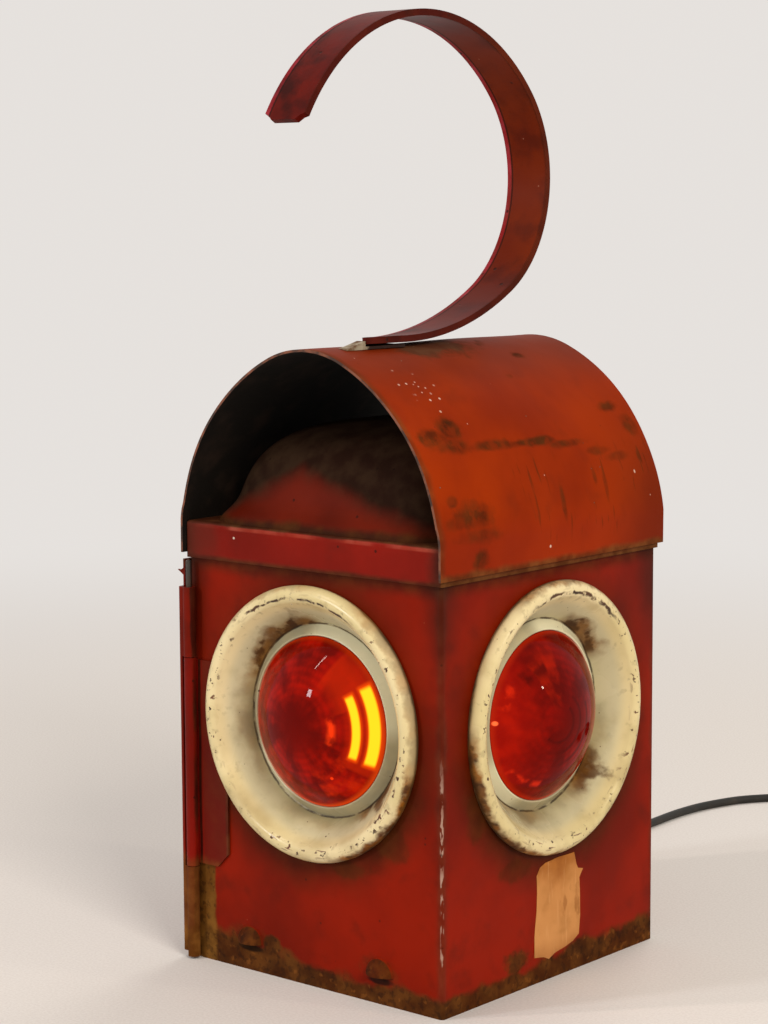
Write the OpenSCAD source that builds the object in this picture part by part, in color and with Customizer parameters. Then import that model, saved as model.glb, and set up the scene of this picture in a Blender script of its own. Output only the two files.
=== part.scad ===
// Square railway hand lamp: a folded steel body with a hooded lid, two dished bezels with
// red bullseye lenses, a full-height side door and a strap hook, wired for a mains bulb.
// The origin is the centre of the base, +Z is up and the front lens faces -Y.

/* [Body] */
// Width of the body across the front
body_w = 132; // [110:1:160]
// Depth of the body from front to back
body_d = 140; // [116:1:170]
// Height of the body walls
body_h = 181; // [165:1:220]
// Thickness of the sheet steel
sheet = 1; // [0.8:0.1:1.3]
// Outside radius of the folded corners
fold_r = 1.5; // [1.4:0.1:3]
// Height of the base pan's upturned edge
pan_lip = 8; // [4:1:10]

/* [Door opening] */
// Width of the frame left round the door opening
frame_w = 12; // [8:1:16]
// Height of the sill under the door opening
sill_h = 12; // [8:1:16]
// Height of the wall kept above the door opening
head_h = 24; // [20:1:30]

/* [Lid and hood] */
// Depth of the lid's turned-down edge
lid_lip = 15; // [10:1:20]
// Slip fit between the lid and the body
lid_fit = 0.2; // [0.1:0.1:0.4]
// Radius of the air hole in the lid
lid_hole_r = 44; // [30:1:48]
// Length of the hood from front to back
hood_len = 146; // [120:1:180]
// Height of the hood's straight skirts
skirt_h = 15; // [10:1:18]
// Height of the hood's arch above its skirts
arch_h = 69.6; // [60:0.2:80]
// Outside radius of the hood's crown
crown_r = 46.5; // [40:0.5:54]
// Half of the angle that the crown's arc covers
crown_angle = 25; // [15:1:40]

/* [Vent dome] */
// Height of the dome above the lid
dome_h = 40.5; // [30:0.5:50]
// Width of flat lid left at each side of the dome
dome_side = 4.8; // [4:0.2:14]
// Width of flat lid left before and behind the dome
dome_end = 2; // [1:0.2:6]
// Radius of the dome's vent holes
vent_r = 3.5; // [2:0.5:5]
// Number of vent holes in each flank
vent_count = 6; // [3:1:8]
// Distance between neighbouring vent holes
vent_pitch = 13; // [11:1:14]

/* [Hook] */
// Width of the strap
hook_w = 20.6; // [16:0.2:26]
// Thickness of the strap
hook_t = 2.7; // [2:0.1:3.4]
// Length of the straight foot on the ridge
foot_len = 24; // [16:1:34]
// Distance from the lamp's middle to the front end of the foot
foot_front = 47.5; // [40:0.5:56]
// Outside radius where the strap leaves the ridge
sweep_r = 135; // [110:1:160]
// Outside radius of the back of the hook
back_r = 55; // [46:1:62]
// Outside radius over the top of the hook
top_r = 86.5; // [76:0.5:96]
// Angle of the hook's free end, above the front
end_angle = 29; // [15:1:50]

/* [Bezels and lenses] */
// Outside radius of the bezels
bezel_r = 55; // [50:1:58]
// Distance of the lens centres below the top of the body
lens_drop = 74.5; // [70:0.5:90]
// Height of the bezel's rolled bead
bead_h = 5.6; // [4:0.2:7]
// Radius of the bead's rounding
bead_r = 3.8; // [3:0.1:4.5]
// Bore radius of the bezel's lens socket
socket_r = 38.4; // [37:0.2:40]
// Depth of the dish below the face of the body
dish_depth = 8.3; // [6:0.1:9.5]
// Depth of the lens socket behind the dish
socket_len = 6.5; // [6:0.5:10]
// Clear radius of the lens
lens_r = 34; // [30:0.2:35]
// Height of the bullseye above its collar
lens_bulge = 15.5; // [8:0.5:18]
// Thickness of the lens's rim
rim_t = 2.6; // [2:0.1:2.8]
// Wire diameter of the snap ring behind each lens
clip_wire = 1.6; // [1.2:0.1:1.8]

/* [Intake louvres] */
// Radius of the ball that presses each louvre
louvre_r = 8; // [6:0.5:9]
// How far a louvre stands off the wall
louvre_out = 4; // [3:0.5:5]
// Height of the louvres' lower edge
louvre_z = 11.5; // [10:0.5:14]
// Distance between the two louvres at the front and back
louvre_gap = 69; // [50:1:80]

/* [Door and hinge] */
// Gap between the door's skin and the body
door_gap = 2; // [1.6:0.1:3]
// Running clearance between moving pieces
clear = 0.3; // [0.3:0.05:0.5]
// Height of the door's lower edge
door_z0 = 3; // [2:1:6]
// Outside radius of the hinge knuckles
knuckle_r = 2.55; // [2.4:0.05:3]
// Radius of the hinge pin
pin_r = 1.2; // [1:0.05:1.4]
// Radial clearance of the door's knuckles on the pin
pin_clear = 0.05; // [0.02:0.01:0.1]
// Length of the door's lower knuckle
knuckle_low = 38; // [28:1:44]
// Length of the middle knuckle, which the body carries
knuckle_mid = 86.8; // [60:0.1:90]
// Length lost from the top of the door's torn front edge
torn_len = 11; // [6:1:14]
// Width of the hinge leaf on the front
leaf_w = 18.4; // [12:0.2:20]
// Height of the door catch
catch_z = 85; // [60:1:120]
// Distance of the catch from the rear edge of the door
catch_in = 24; // [22:1:30]
// Radius of the catch's spindle
spindle_r = 2.5; // [2:0.1:3]

/* [Bulb and wiring] */
// Distance of the bulb's middle below the lens centres
bulb_drop = 6.5; // [0:0.5:12]
// Height of the lit tubes
tube_len = 49.5; // [40:0.5:56]
// Radius of the lit tubes
tube_r = 5; // [4:0.5:6]
// Distance between the axes of a bent tube's two legs
leg_pitch = 13.5; // [13:0.5:16]
// Distance between the two bent tubes
tube_pitch = 15.5; // [13:0.5:18]
// Turn of the tubes about the bulb's axis
tube_turn = 40; // [0:5:90]
// Height of the bulb's housing
housing_h = 15.5; // [12:0.5:20]
// Radius of the bulb's housing
housing_r = 19; // [17:0.5:23]
// Height of the lampholder
holder_h = 28; // [24:1:30]
// Outside radius of the lampholder
holder_r = 16; // [14.5:0.5:19]
// Length of the hollow threaded stem
stem_len = 16; // [12:1:20]
// Diameter of the cord
cord_d = 4; // [3:0.5:4]
// Height of the cord's outlet in the back wall
outlet_z = 26; // [24:1:32]
// Radius of the outlet's hole
outlet_r = 5; // [4.5:0.5:6.5]
// Length of the grommet's tapered sleeve
sleeve_len = 24; // [20:1:40]

/* [Cord coil and plug] */
// Number of loops in the coil
coil_turns = 9; // [5:1:12]
// Layers that the coil is wound in
coil_layers = 4; // [2, 4]
// Step between neighbouring loops
coil_step = 4.8; // [4.6:0.1:5.4]
// Radius of the coil at its outer loop
coil_out_r = 28.5; // [28:0.5:40]
// Length of the plug's body
plug_len = 34; // [30:1:40]
// Thickness of the plug's body
plug_t = 13.6; // [12:0.2:16]
// Width of the plug's body at its face
plug_w = 35; // [32:1:38]
// Radius of the plug's pins
plug_pin_r = 2; // [1.8:0.1:2.4]

/* [Hidden] */
$fn = 96;
eps = 0.01;
past = 5;

// Paint and material colours
hood_red = [0.62, 0.20, 0.09];
body_red = [0.48, 0.10, 0.07];
cream = [0.80, 0.76, 0.62];
lens_red = [0.80, 0.10, 0.03];
steel = [0.55, 0.54, 0.52];
brass = [0.72, 0.56, 0.28];
black = [0.08, 0.08, 0.08];

// Planes that the pieces share
wall_x = body_w/2;
wall_y = body_d/2;
lid_top = body_h + sheet;
lid_edge = lid_top - lid_lip;
lid_x = wall_x + lid_fit + sheet;
lid_y = wall_y + lid_fit + sheet;
skirt_x = lid_x + sheet;
spring_gap = 2;
spring_z = lid_top + spring_gap;
ridge_z = spring_z + arch_h;
lens_z = body_h - lens_drop;

// The hood's flanks are tangent arcs from the crown down to the skirts
crown_z = ridge_z - crown_r;
junction_z = crown_z + crown_r*cos(crown_angle);
spring_point = [skirt_x, spring_z - crown_z];
crown_dir = [sin(crown_angle), cos(crown_angle)];
flank_extra = (spring_point*spring_point - crown_r*crown_r)/(2*(crown_r - spring_point*crown_dir));
flank_r = crown_r + flank_extra;
flank_c = [-flank_extra*crown_dir[0], crown_z - flank_extra*crown_dir[1]];

// The dome's outline runs from the lid to its crown
dome_x = lid_x - dome_side;
dome_y = lid_y - dome_end;
dome_rings = 16;
dome_sides = 48;
vent_z = lid_top + 18;

// The strap's arcs, each tangent to the next, as centres in the YZ plane
strap_z = ridge_z + 0.1;
sweep_angle = -60;
back_angle = 40.6;
foot_end = foot_len - foot_front;
foot_run = 11;
sweep_c = [foot_end, strap_z + sweep_r];
back_c = sweep_c + (sweep_r - back_r)*[cos(sweep_angle), sin(sweep_angle)];
top_c = back_c + (back_r - top_r)*[cos(back_angle), sin(back_angle)];
hook_end = 180 - end_angle;
hook_chamfer = 4;

// The bezel's section, as distance from the axis and height off the wall
bead_c = [bezel_r - bead_r, bead_h - bead_r];
cone_foot = [socket_r + 0.4, -dish_depth];
cone_reach = bead_c - cone_foot;
cone_slope = atan2(cone_reach[1], cone_reach[0]) + asin(bead_r/norm(cone_reach));
cone_end = 90 + cone_slope;
cone_top = bead_c + bead_r*[cos(cone_end), sin(cone_end)];
cone_back = sheet/sin(cone_slope);
bezel_gap = 0.3;
bezel_hole_r = cone_foot[0] + dish_depth/tan(cone_slope) + cone_back + bezel_gap;
socket_z0 = -dish_depth - socket_len;
ring_t = 1.2;
ring_h = 1.3;
ring_rise = 3.1;
rim_z = -dish_depth - ring_h;
rim_r = socket_r - 0.4;
lens_edge = 4.2;
clip_z = rim_z - rim_t - clip_wire/2;

// The hinge's axis stands in front of the body's left front corner
hinge_in = 2.1;
hinge_x = hinge_in - wall_x;
hinge_y = -wall_y - knuckle_r - clear - pin_clear;
skin_x = -wall_x - door_gap - sheet;
flange_y = hinge_y - knuckle_r + sheet;
door_z1 = lid_edge - 1;
pin_z0 = 1;
low_top = pin_z0 + knuckle_low;
mid_z0 = low_top + clear;
mid_z1 = mid_z0 + knuckle_mid;
upper_z0 = mid_z1 + clear;
upper_z1 = door_z1 - torn_len;
leaf_in = 1;
leaf_chamfer = 6;

// The catch turns on an axis along X through the door
catch_y = wall_y - catch_in;
catch_plate_r = 8;
tongue_play = 1.7;
tongue_x = sheet + tongue_play - wall_x;
tongue_t = 1.5;
tongue_len = 15;
tongue_w = 7;
knob_x = skin_x - sheet - clear;

// The bulb and its holder are stacked down from the lens centres
bulb_y = 3;
bulb_z = lens_z - bulb_drop;
tube_z0 = bulb_z - tube_len/2;
housing_z = tube_z0 - housing_h;
holder_z = housing_z - holder_h;
plate_t = 1.5;
plate_z = holder_z - plate_t;
holder_floor = 2;
holder_wall = 2.4;
nut_h = 2.5;
nut_r = 8;
stem_z1 = holder_z + holder_floor + nut_h + 0.5;
stem_z0 = stem_z1 - stem_len;
stem_r = 5;
bridge_y = 26;
bridge_w = 24;
bridge_foot = 14;
screw_r = 1.7;
foot_y = bridge_y + bridge_foot/2;
cord_hole_r = 6.5;
cord_r = cord_d/2;

// The cord leaves through the back wall, drops to the floor and runs off to the right
grommet_lip = 2;
sleeve_end = wall_y + grommet_lip + sleeve_len;
inner_route = [[0, bulb_y, stem_z0 + 6], [0, bulb_y, stem_z0 + 1], [0, bulb_y, stem_z0 - 5],
               [0, 7, 9], [0, 18, 6], [0, 34, 9], [0, 48, 16], [0, 58, 23],
               [0, wall_y - 6, outlet_z], [0, wall_y - 1, outlet_z],
               [0, wall_y + 12, outlet_z], [0, sleeve_end, outlet_z]];
free_route = [[0, sleeve_end, outlet_z], [0, 102, 26], [-3, 114, 23], [-8, 128, 16],
              [-15, 144, 8], [-24, 162, 3], [-32, 180, 2], [-38, 198, 2], [-41, 214, 2],
              [-42, 230, 2], [-43, 250, 2], [-42, 268, 2], [-39, 282, 2], [-34, 296, 2],
              [-25, 309, 2], [-12, 323, 2], [4, 335, 2], [22, 343, 2], [42, 348, 2],
              [64, 350, 2], [80, 350, 2], [86, 350, 2]];
coil_in = [90, 350, cord_r];
coil_lift = cord_d + 0.7;
coil_c = [coil_in[0], coil_in[1] - coil_out_r];
coil_out = coil_in + [0, 0, (coil_layers - 1)*coil_lift];
coil_lead = [cord_d, 0, 0];
boot_len = 14;
pin_root = 8;
pin_len = 19;
pin_pitch = 18.6;
plug_back = [150, 272, plug_t/2];
plug_turn = -90;
tail_route = [coil_out + coil_lead, coil_out + 2*coil_lead, [112, 349, 14], [125, 344, 10],
              [136, 335, 6], [143, 324, 3.5], [148, 311, 2.5], [150, 298, 3.5],
              [150, 288, 5.5], [150, 280, plug_t/2], [150, 276, plug_t/2], plug_back];

// Points of a smooth curve through the points of a route
function curve_point(a, b, c, d, t) =
    0.5*(2*b + (c - a)*t + (2*a - 5*b + 4*c - d)*t*t + (3*b - a - 3*c + d)*t*t*t);
function smooth(p, n) =
    [for (i = [0:len(p) - 2])
        for (j = [0:n - 1])
            curve_point(p[max(i - 1, 0)], p[i], p[i + 1], p[min(i + 2, len(p) - 1)], j/n),
     p[len(p) - 1]];
function unit(v) = v/norm(v);
function heading(p, i) = unit(p[min(i + 1, len(p) - 1)] - p[max(i - 1, 0)]);
function square_to(u, t) = unit(u - (u*t)*t);
function side_vectors(p, first) =
    [for (i = 0, u = square_to(first, heading(p, 0)); i < len(p);
          i = i + 1, u = i < len(p) ? square_to(u, heading(p, i)) : u) u];

// A round tube swept along points, closed at both ends
module swept_tube(p, r, sides, first) {
    u = side_vectors(p, first);
    rings = [for (i = [0:len(p) - 1])
                let (v = cross(heading(p, i), u[i]))
                for (k = [0:sides - 1])
                    p[i] + r*(cos(360*k/sides)*u[i] + sin(360*k/sides)*v)];
    last = (len(p) - 1)*sides;
    walls = [for (i = [0:len(p) - 2])
                for (k = [0:sides - 1])
                    for (f = [[i*sides + k, i*sides + (k + 1)%sides, (i + 1)*sides + k],
                              [i*sides + (k + 1)%sides, (i + 1)*sides + (k + 1)%sides,
                               (i + 1)*sides + k]]) [f[2], f[1], f[0]]];
    starts = [for (k = [1:sides - 2]) [0, k, k + 1]];
    ends = [for (k = [1:sides - 2]) [last, last + k + 1, last + k]];
    polyhedron(rings, concat(walls, starts, ends));
}

// The coil's centre line: it spirals in and out, and climbs a layer at each reversal
turns_each = coil_turns/coil_layers;
function coil_radius(t) =
    let (k = min(floor(t/turns_each), coil_layers - 1), f = t - k*turns_each)
    k%2 == 0 ? coil_out_r - coil_step*f : coil_out_r - coil_step*(turns_each - f);
function rise(f) = let (g = max(0, min(1, f))) g*g*(3 - 2*g);
function sum(v) = v*[for (x = v) 1];
function coil_height(t) =
    coil_lift*sum([for (k = [1:coil_layers - 1]) rise(2*(t - k*turns_each) + 0.5)]);
function coil_point(t) =
    [coil_c[0] + coil_radius(t)*sin(360*t), coil_c[1] + coil_radius(t)*cos(360*t),
     coil_in[2] + coil_height(t)];
coil_path = [coil_in - coil_lead, for (i = [0:coil_turns*24]) coil_point(i/24), coil_out + coil_lead];
coil_gap = min([for (i = [0:len(coil_path) - 1])
                   for (j = [i + 12:1:len(coil_path) - 1])
                       norm(coil_path[i] - coil_path[j])]) - cord_d;
echo(least_gap_between_loops = coil_gap);

// Points on an arc after its first one, and a list in reverse
function arc_on(c, r, a0, a1, n) =
    [for (i = [1:n]) let (a = a0 + (a1 - a0)*i/n) c + r*[cos(a), sin(a)]];
function reversed(v) = [for (i = [len(v) - 1:-1:0]) v[i]];

// A rounded rectangle as exact arcs and flats
module rounded(w, d, r) {
    square([w - 2*r, d], center = true);
    square([w, d - 2*r], center = true);
    for (x = [-1, 1], y = [-1, 1])
        translate([x*(w/2 - r), y*(d/2 - r)]) circle(r);
}

// Places what is drawn about +Z onto the front or the right wall at lens height
module on_front() { translate([0, -wall_y, lens_z]) rotate([90, 0, 0]) children(); }
module on_right() { translate([wall_x, 0, lens_z]) rotate([90, 0, 90]) children(); }

// Places a louvre drawn about +Z, with its mouth towards -Y, on the front and back walls
module at_louvres() {
    for (s = [-1, 1]) {
        translate([s*louvre_gap/2, -wall_y, louvre_z]) rotate([90, 0, 0]) children();
        translate([s*louvre_gap/2, wall_y, louvre_z]) rotate([90, 0, 180]) children();
    }
}
module louvre_cowl() {
    intersection() {
        difference() {
            translate([0, 0, louvre_out - louvre_r]) sphere(louvre_r);
            translate([0, 0, louvre_out - louvre_r]) sphere(louvre_r - sheet);
        }
        translate([-louvre_r, 0, -sheet/2]) cube([2*louvre_r, louvre_r, louvre_out + sheet]);
    }
}
module louvre_mouth() {
    intersection() {
        translate([0, 0, louvre_out - louvre_r]) sphere(louvre_r - sheet);
        translate([-louvre_r, 0, -2*sheet]) cube([2*louvre_r, louvre_r, 2*sheet + eps]);
    }
}

// Folded steel walls with the door opening on the left
module body_shell() {
    color(body_red) {
        difference() {
            linear_extrude(body_h) rounded(body_w, body_d, fold_r);
            translate([0, 0, -past])
                linear_extrude(body_h + 2*past)
                    rounded(body_w - 2*sheet, body_d - 2*sheet, fold_r - sheet + eps);
            translate([-wall_x - past, frame_w - wall_y, sill_h])
                cube([past + 2*sheet, body_d - 2*frame_w, body_h - sill_h - head_h]);
            on_front() cylinder(r = bezel_hole_r, h = 4*sheet, center = true);
            on_right() cylinder(r = bezel_hole_r, h = 4*sheet, center = true);
            at_louvres() louvre_mouth();
            translate([0, wall_y, outlet_z]) rotate([90, 0, 0])
                cylinder(r = outlet_r, h = 4*sheet, center = true);
        }
        at_louvres() louvre_cowl();
    }
}

// Pan let into the foot of the body
module base_pan() {
    pan_w = body_w - 2*sheet;
    pan_d = body_d - 2*sheet;
    color(body_red) difference() {
        linear_extrude(pan_lip) rounded(pan_w, pan_d, fold_r - sheet + eps);
        translate([0, 0, sheet])
            linear_extrude(pan_lip) rounded(pan_w - 2*sheet, pan_d - 2*sheet, fold_r/2);
    }
}

// Lid with its edge turned down outside the walls
module lid_tray() {
    color(body_red) difference() {
        translate([0, 0, lid_edge]) linear_extrude(lid_lip) rounded(2*lid_x, 2*lid_y, fold_r);
        translate([0, 0, lid_edge - past])
            linear_extrude(lid_lip + past - sheet)
                square([2*(lid_x - sheet), 2*(lid_y - sheet)], center = true);
        translate([0, 0, lid_top - 2*sheet]) cylinder(r = lid_hole_r, h = 4*sheet);
    }
}

// The dome's size at a share t of its height: a flared foot, leaning walls and a round crown
flare = 0.07;
flare_h = 6;
lean = 0.1;
crown_power = 3.6;
function dome_share(t) =
    (1 - flare - lean*t)*pow(max(0, 1 - pow(t, crown_power)), 1/crown_power)
    + flare*exp(-pow(t*dome_h/flare_h, 2));
function corner_power(t) = 6.8 - 2*t;
function lobe(c, n) = sign(c)*pow(abs(c), 2/n);
function dome_ring(t, inset) =
    let (s = dome_share(t), n = corner_power(t))
    [for (k = [0:dome_sides - 1])
        [max(0.5, s*dome_x - inset)*lobe(cos(360*k/dome_sides), n),
         max(0.5, s*dome_y - inset)*lobe(sin(360*k/dome_sides), n),
         t*(dome_h - inset)]];
module dome_solid(inset) {
    shares = [for (i = [0:dome_rings - 1]) (1 - cos(180*i/dome_rings))/2];
    points = [for (t = shares) each dome_ring(t, inset), [0, 0, dome_h - inset], [0, 0, 0]];
    top = dome_rings*dome_sides;
    walls = [for (i = [0:dome_rings - 2])
                for (k = [0:dome_sides - 1])
                    let (a = i*dome_sides + k, b = i*dome_sides + (k + 1)%dome_sides)
                    for (f = [[a, a + dome_sides, b], [b, a + dome_sides, b + dome_sides]]) f];
    caps = [for (k = [0:dome_sides - 1])
               let (n = (k + 1)%dome_sides, last = top - dome_sides)
               for (f = [[last + k, top, last + n], [k, n, top + 1]]) f];
    polyhedron(points, concat(walls, caps));
}

// Pressed vent dome on the lid, pierced along both flanks
module vent_dome() {
    color(body_red) difference() {
        translate([0, 0, lid_top]) dome_solid(0);
        translate([0, 0, lid_top - eps]) dome_solid(sheet);
        for (i = [0:vent_count - 1])
            translate([0, (i - (vent_count - 1)/2)*vent_pitch, vent_z]) rotate([0, 90, 0])
                cylinder(r = vent_r, h = body_w, center = true, $fn = 24);
    }
}

// The hood's outline in plan view of its front: crown arc, flank arcs and straight skirts
module hood_outline(inset) {
    intersection() {
        translate(flank_c) circle(flank_r - inset);
        translate([-flank_c[0], flank_c[1]]) circle(flank_r - inset);
        translate([-body_w, spring_z - eps]) square([2*body_w, junction_z - spring_z + eps]);
    }
    intersection() {
        translate([0, crown_z]) circle(crown_r - inset);
        translate([-body_w, junction_z - eps]) square([2*body_w, crown_r]);
    }
    translate([inset - skirt_x, spring_z - skirt_h])
        square([2*(skirt_x - inset), skirt_h]);
}

// Barrel hood, open at the front and back
module hood() {
    color(hood_red) translate([0, hood_len/2, 0]) rotate([90, 0, 0])
        linear_extrude(hood_len) difference() {
            hood_outline(0);
            hood_outline(sheet);
            translate([-body_w, spring_z - skirt_h - past]) square([2*body_w, past + eps]);
        }
}

// One side of the strap in the YZ plane, a distance t inside its outer line
function strap_side(t) =
    concat([[-foot_front, strap_z + t], [foot_end, strap_z + t]],
           arc_on(sweep_c, sweep_r - t, -90, sweep_angle, 12),
           arc_on(back_c, back_r - t, sweep_angle, back_angle, 32),
           arc_on(top_c, top_r - t, back_angle, hook_end, 32));

// Strap hook: flat foot, sweep off the ridge, round back and open top
// Plan of what is cut off the strap's foot: a slant across its far corner
module foot_slant(kept) {
    ahead = foot_front + foot_run + 1;
    translate([0, 0, ridge_z - 3]) linear_extrude(strap_z - ridge_z + hook_t + 4)
        polygon([[-hook_w, -ahead], [hook_w/2 - kept, -ahead], [hook_w/2 - kept, -foot_front],
                 [-hook_w/2 + 1, foot_end - 2*eps], [-hook_w, foot_end - 2*eps]]);
}

module hook_handle() {
    tip = top_c + (top_r - hook_t/2)*[cos(hook_end), sin(hook_end)];
    color(body_red) difference() {
        translate([-hook_w/2, 0, 0]) rotate([90, 0, 90]) difference() {
            linear_extrude(hook_w) polygon(concat(strap_side(0), reversed(strap_side(hook_t))));
            for (z = [0, hook_w])
                translate([tip[0], tip[1], z]) rotate([0, 0, hook_end])
                    rotate([45, 0, 0])
                        cube([4*hook_t, hook_chamfer*sqrt(2), hook_chamfer*sqrt(2)], center = true);
        }
        foot_slant(2);
    }
}

// Braze bedding the strap's foot on the ridge, with a run-out in front of it
module hook_braze() {
    bed_w = hook_w - 1;
    color(cream) difference() {
        union() {
            translate([-bed_w/2, -foot_front, ridge_z - 2])
                cube([bed_w, foot_len, strap_z - ridge_z + 2]);
            translate([-bed_w/2, 0, 0]) rotate([90, 0, 90]) linear_extrude(bed_w)
                polygon([[-foot_front, ridge_z - 2], [-foot_front, strap_z + 0.8*hook_t],
                         [-foot_front - foot_run/2, strap_z + 0.3*hook_t],
                         [-foot_front - foot_run, ridge_z - 0.3],
                         [-foot_front - foot_run, ridge_z - 2]]);
        }
        foot_slant(5);
        translate([0, 0, crown_z]) rotate([90, 0, 0])
            cylinder(r = crown_r, h = body_d, center = true, $fn = 192);
    }
}

// Spun bezel: rolled bead, conical dish tangent to it and a socket tube for the lens
module bezel() {
    outer_foot = -asin(bead_c[1]/bead_r);
    inner_foot = -asin(bead_c[1]/(bead_r - sheet));
    cone_in = -sheet*[cos(cone_end), sin(cone_end)];
    color(cream) rotate_extrude() polygon(concat(
        [bead_c + bead_r*[cos(outer_foot), sin(outer_foot)]],
        arc_on(bead_c, bead_r, outer_foot, cone_end, 14),
        [cone_foot, [socket_r, cone_foot[1]], [socket_r, socket_z0],
         [socket_r + sheet, socket_z0], [socket_r + sheet, cone_foot[1] - sheet],
         cone_foot + cone_in, cone_top + cone_in],
        arc_on(bead_c, bead_r - sheet, cone_end, inner_foot, 14)));
}
module bezel_front() { on_front() bezel(); }
module bezel_right() { on_right() bezel(); }

// Collar that stands up round the lens inside the dish and holds its rim
module lens_ring() {
    inner_r = lens_r + 0.1;
    lip_r = inner_r + 0.8;
    lip_z = ring_rise - dish_depth;
    color(cream) rotate_extrude()
        polygon([[socket_r, -dish_depth], [socket_r, rim_z], [socket_r - ring_t, rim_z],
                 [inner_r, lip_z - ring_t], [inner_r, lip_z - 0.3], [lip_r, lip_z]]);
}
module lens_ring_front() { on_front() lens_ring(); }
module lens_ring_right() { on_right() lens_ring(); }

// Bullseye lens on a flat rim, with rings stepped into its back
module lens() {
    cap_r = (lens_r*lens_r + lens_bulge*lens_bulge)/(2*lens_bulge);
    cap_z = rim_z + lens_edge;
    step_w = 6;
    step_h = 1.2;
    color(lens_red, 0.8) difference() {
        union() {
            translate([0, 0, rim_z - rim_t]) cylinder(r = rim_r, h = rim_t);
            translate([0, 0, rim_z - eps]) cylinder(r = lens_r, h = cap_z - rim_z + eps);
            intersection() {
                translate([0, 0, cap_z + lens_bulge - cap_r]) sphere(cap_r);
                translate([0, 0, cap_z - eps]) cylinder(r = lens_r, h = 2*lens_bulge);
            }
        }
        for (i = [1:4])
            translate([0, 0, rim_z - rim_t - eps]) cylinder(r = lens_r - step_w*i, h = step_h*i);
    }
}
module lens_front() { on_front() lens(); }
module lens_right() { on_right() lens(); }

// Open wire ring sprung into the socket behind the lens
module snap_ring() {
    color(steel) rotate([0, 0, 110]) rotate_extrude(angle = 320)
        translate([socket_r - clip_wire/2, clip_z]) circle(clip_wire/2, $fn = 24);
}
module snap_ring_front() { on_front() snap_ring(); }
module snap_ring_right() { on_right() snap_ring(); }

// A knuckle of the hinge with its bore
module knuckle(z0, z1, bore_r) {
    translate([hinge_x, hinge_y, z0]) difference() {
        cylinder(r = knuckle_r, h = z1 - z0);
        translate([0, 0, -past]) cylinder(r = bore_r, h = z1 - z0 + 2*past);
    }
}

// Middle knuckle and its leaf, soldered to the front and cut round the bezel
module hinge_leaf() {
    h = knuckle_mid - 2*leaf_in;
    color(body_red) {
        knuckle(mid_z0, mid_z1, pin_r);
        difference() {
            translate([hinge_x, -wall_y, mid_z0 + leaf_in]) rotate([90, 0, 0]) linear_extrude(sheet)
                polygon([[0, 0], [leaf_w - leaf_chamfer, 0], [leaf_w, leaf_chamfer],
                         [leaf_w, h - leaf_chamfer], [leaf_w - leaf_chamfer, h], [0, h]]);
            on_front() cylinder(r = bezel_r + bezel_gap, h = 4*sheet, center = true);
            translate([hinge_x, hinge_y, 0]) cylinder(r = pin_r, h = body_h);
        }
    }
}

// Steel pin, bare at the top where the door's knuckle has torn away
module hinge_pin() {
    color(steel) translate([hinge_x, hinge_y, pin_z0]) cylinder(r = pin_r, h = door_z1 - pin_z0);
}

// Outline of the door's skin and front flange, looking down
module door_plan(front_x) {
    translate([skin_x, flange_y + fold_r]) square([sheet, wall_y - flange_y - fold_r]);
    translate([skin_x + fold_r, flange_y]) square([front_x - skin_x - fold_r, sheet]);
    translate([skin_x + fold_r, flange_y + fold_r]) difference() {
        circle(fold_r);
        circle(fold_r - sheet);
        translate([0, -2*fold_r]) square(4*fold_r);
        translate([-2*fold_r, 0]) square(4*fold_r);
    }
}

// Door pan with turned-in edges, its two knuckles and the tear at its top front corner
module door_panel() {
    bore_r = pin_r + pin_clear;
    lip_x = skin_x + sheet - eps;
    lip_w = door_gap - clear + eps;
    clear_x = hinge_x - knuckle_r - 1.5*clear;
    color(body_red) difference() {
        union() {
            translate([0, 0, door_z0]) linear_extrude(low_top - door_z0) door_plan(hinge_x);
            translate([0, 0, low_top - eps])
                linear_extrude(upper_z0 - low_top + 2*eps) door_plan(clear_x);
            translate([0, 0, upper_z0]) linear_extrude(door_z1 - upper_z0) door_plan(hinge_x);
            knuckle(pin_z0, low_top, bore_r);
            knuckle(upper_z0, upper_z1, bore_r);
            for (z = [door_z0, door_z1 - sheet])
                translate([lip_x, -wall_y, z]) cube([lip_w, body_d, sheet]);
            translate([lip_x, wall_y - sheet, door_z0]) cube([lip_w, sheet, door_z1 - door_z0]);
            translate([skin_x, -wall_y, upper_z1]) rotate([90, 0, 0]) linear_extrude(sheet)
                polygon([[0.5, 4], [0.5, 7.5], [-1.6, 6.2], [-3.2, 6.4], [-1, 5]]);
        }
        translate([hinge_x, hinge_y, 0]) cylinder(r = bore_r, h = body_h);
        translate([skin_x - past, flange_y - past, upper_z1])
            cube([hinge_x - skin_x + 2*past, past - sheet - wall_y - flange_y, body_h]);
        translate([skin_x - past, catch_y, catch_z]) rotate([0, 90, 0])
            cylinder(r = spindle_r + pin_clear, h = 4*past);
    }
}

// Round plate that guides the catch's spindle
module catch_plate() {
    color(steel) translate([skin_x - sheet, catch_y, catch_z]) rotate([0, 90, 0]) difference() {
        cylinder(r = catch_plate_r, h = sheet);
        translate([0, 0, -past]) cylinder(r = spindle_r + pin_clear, h = 3*past);
    }
}

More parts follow.
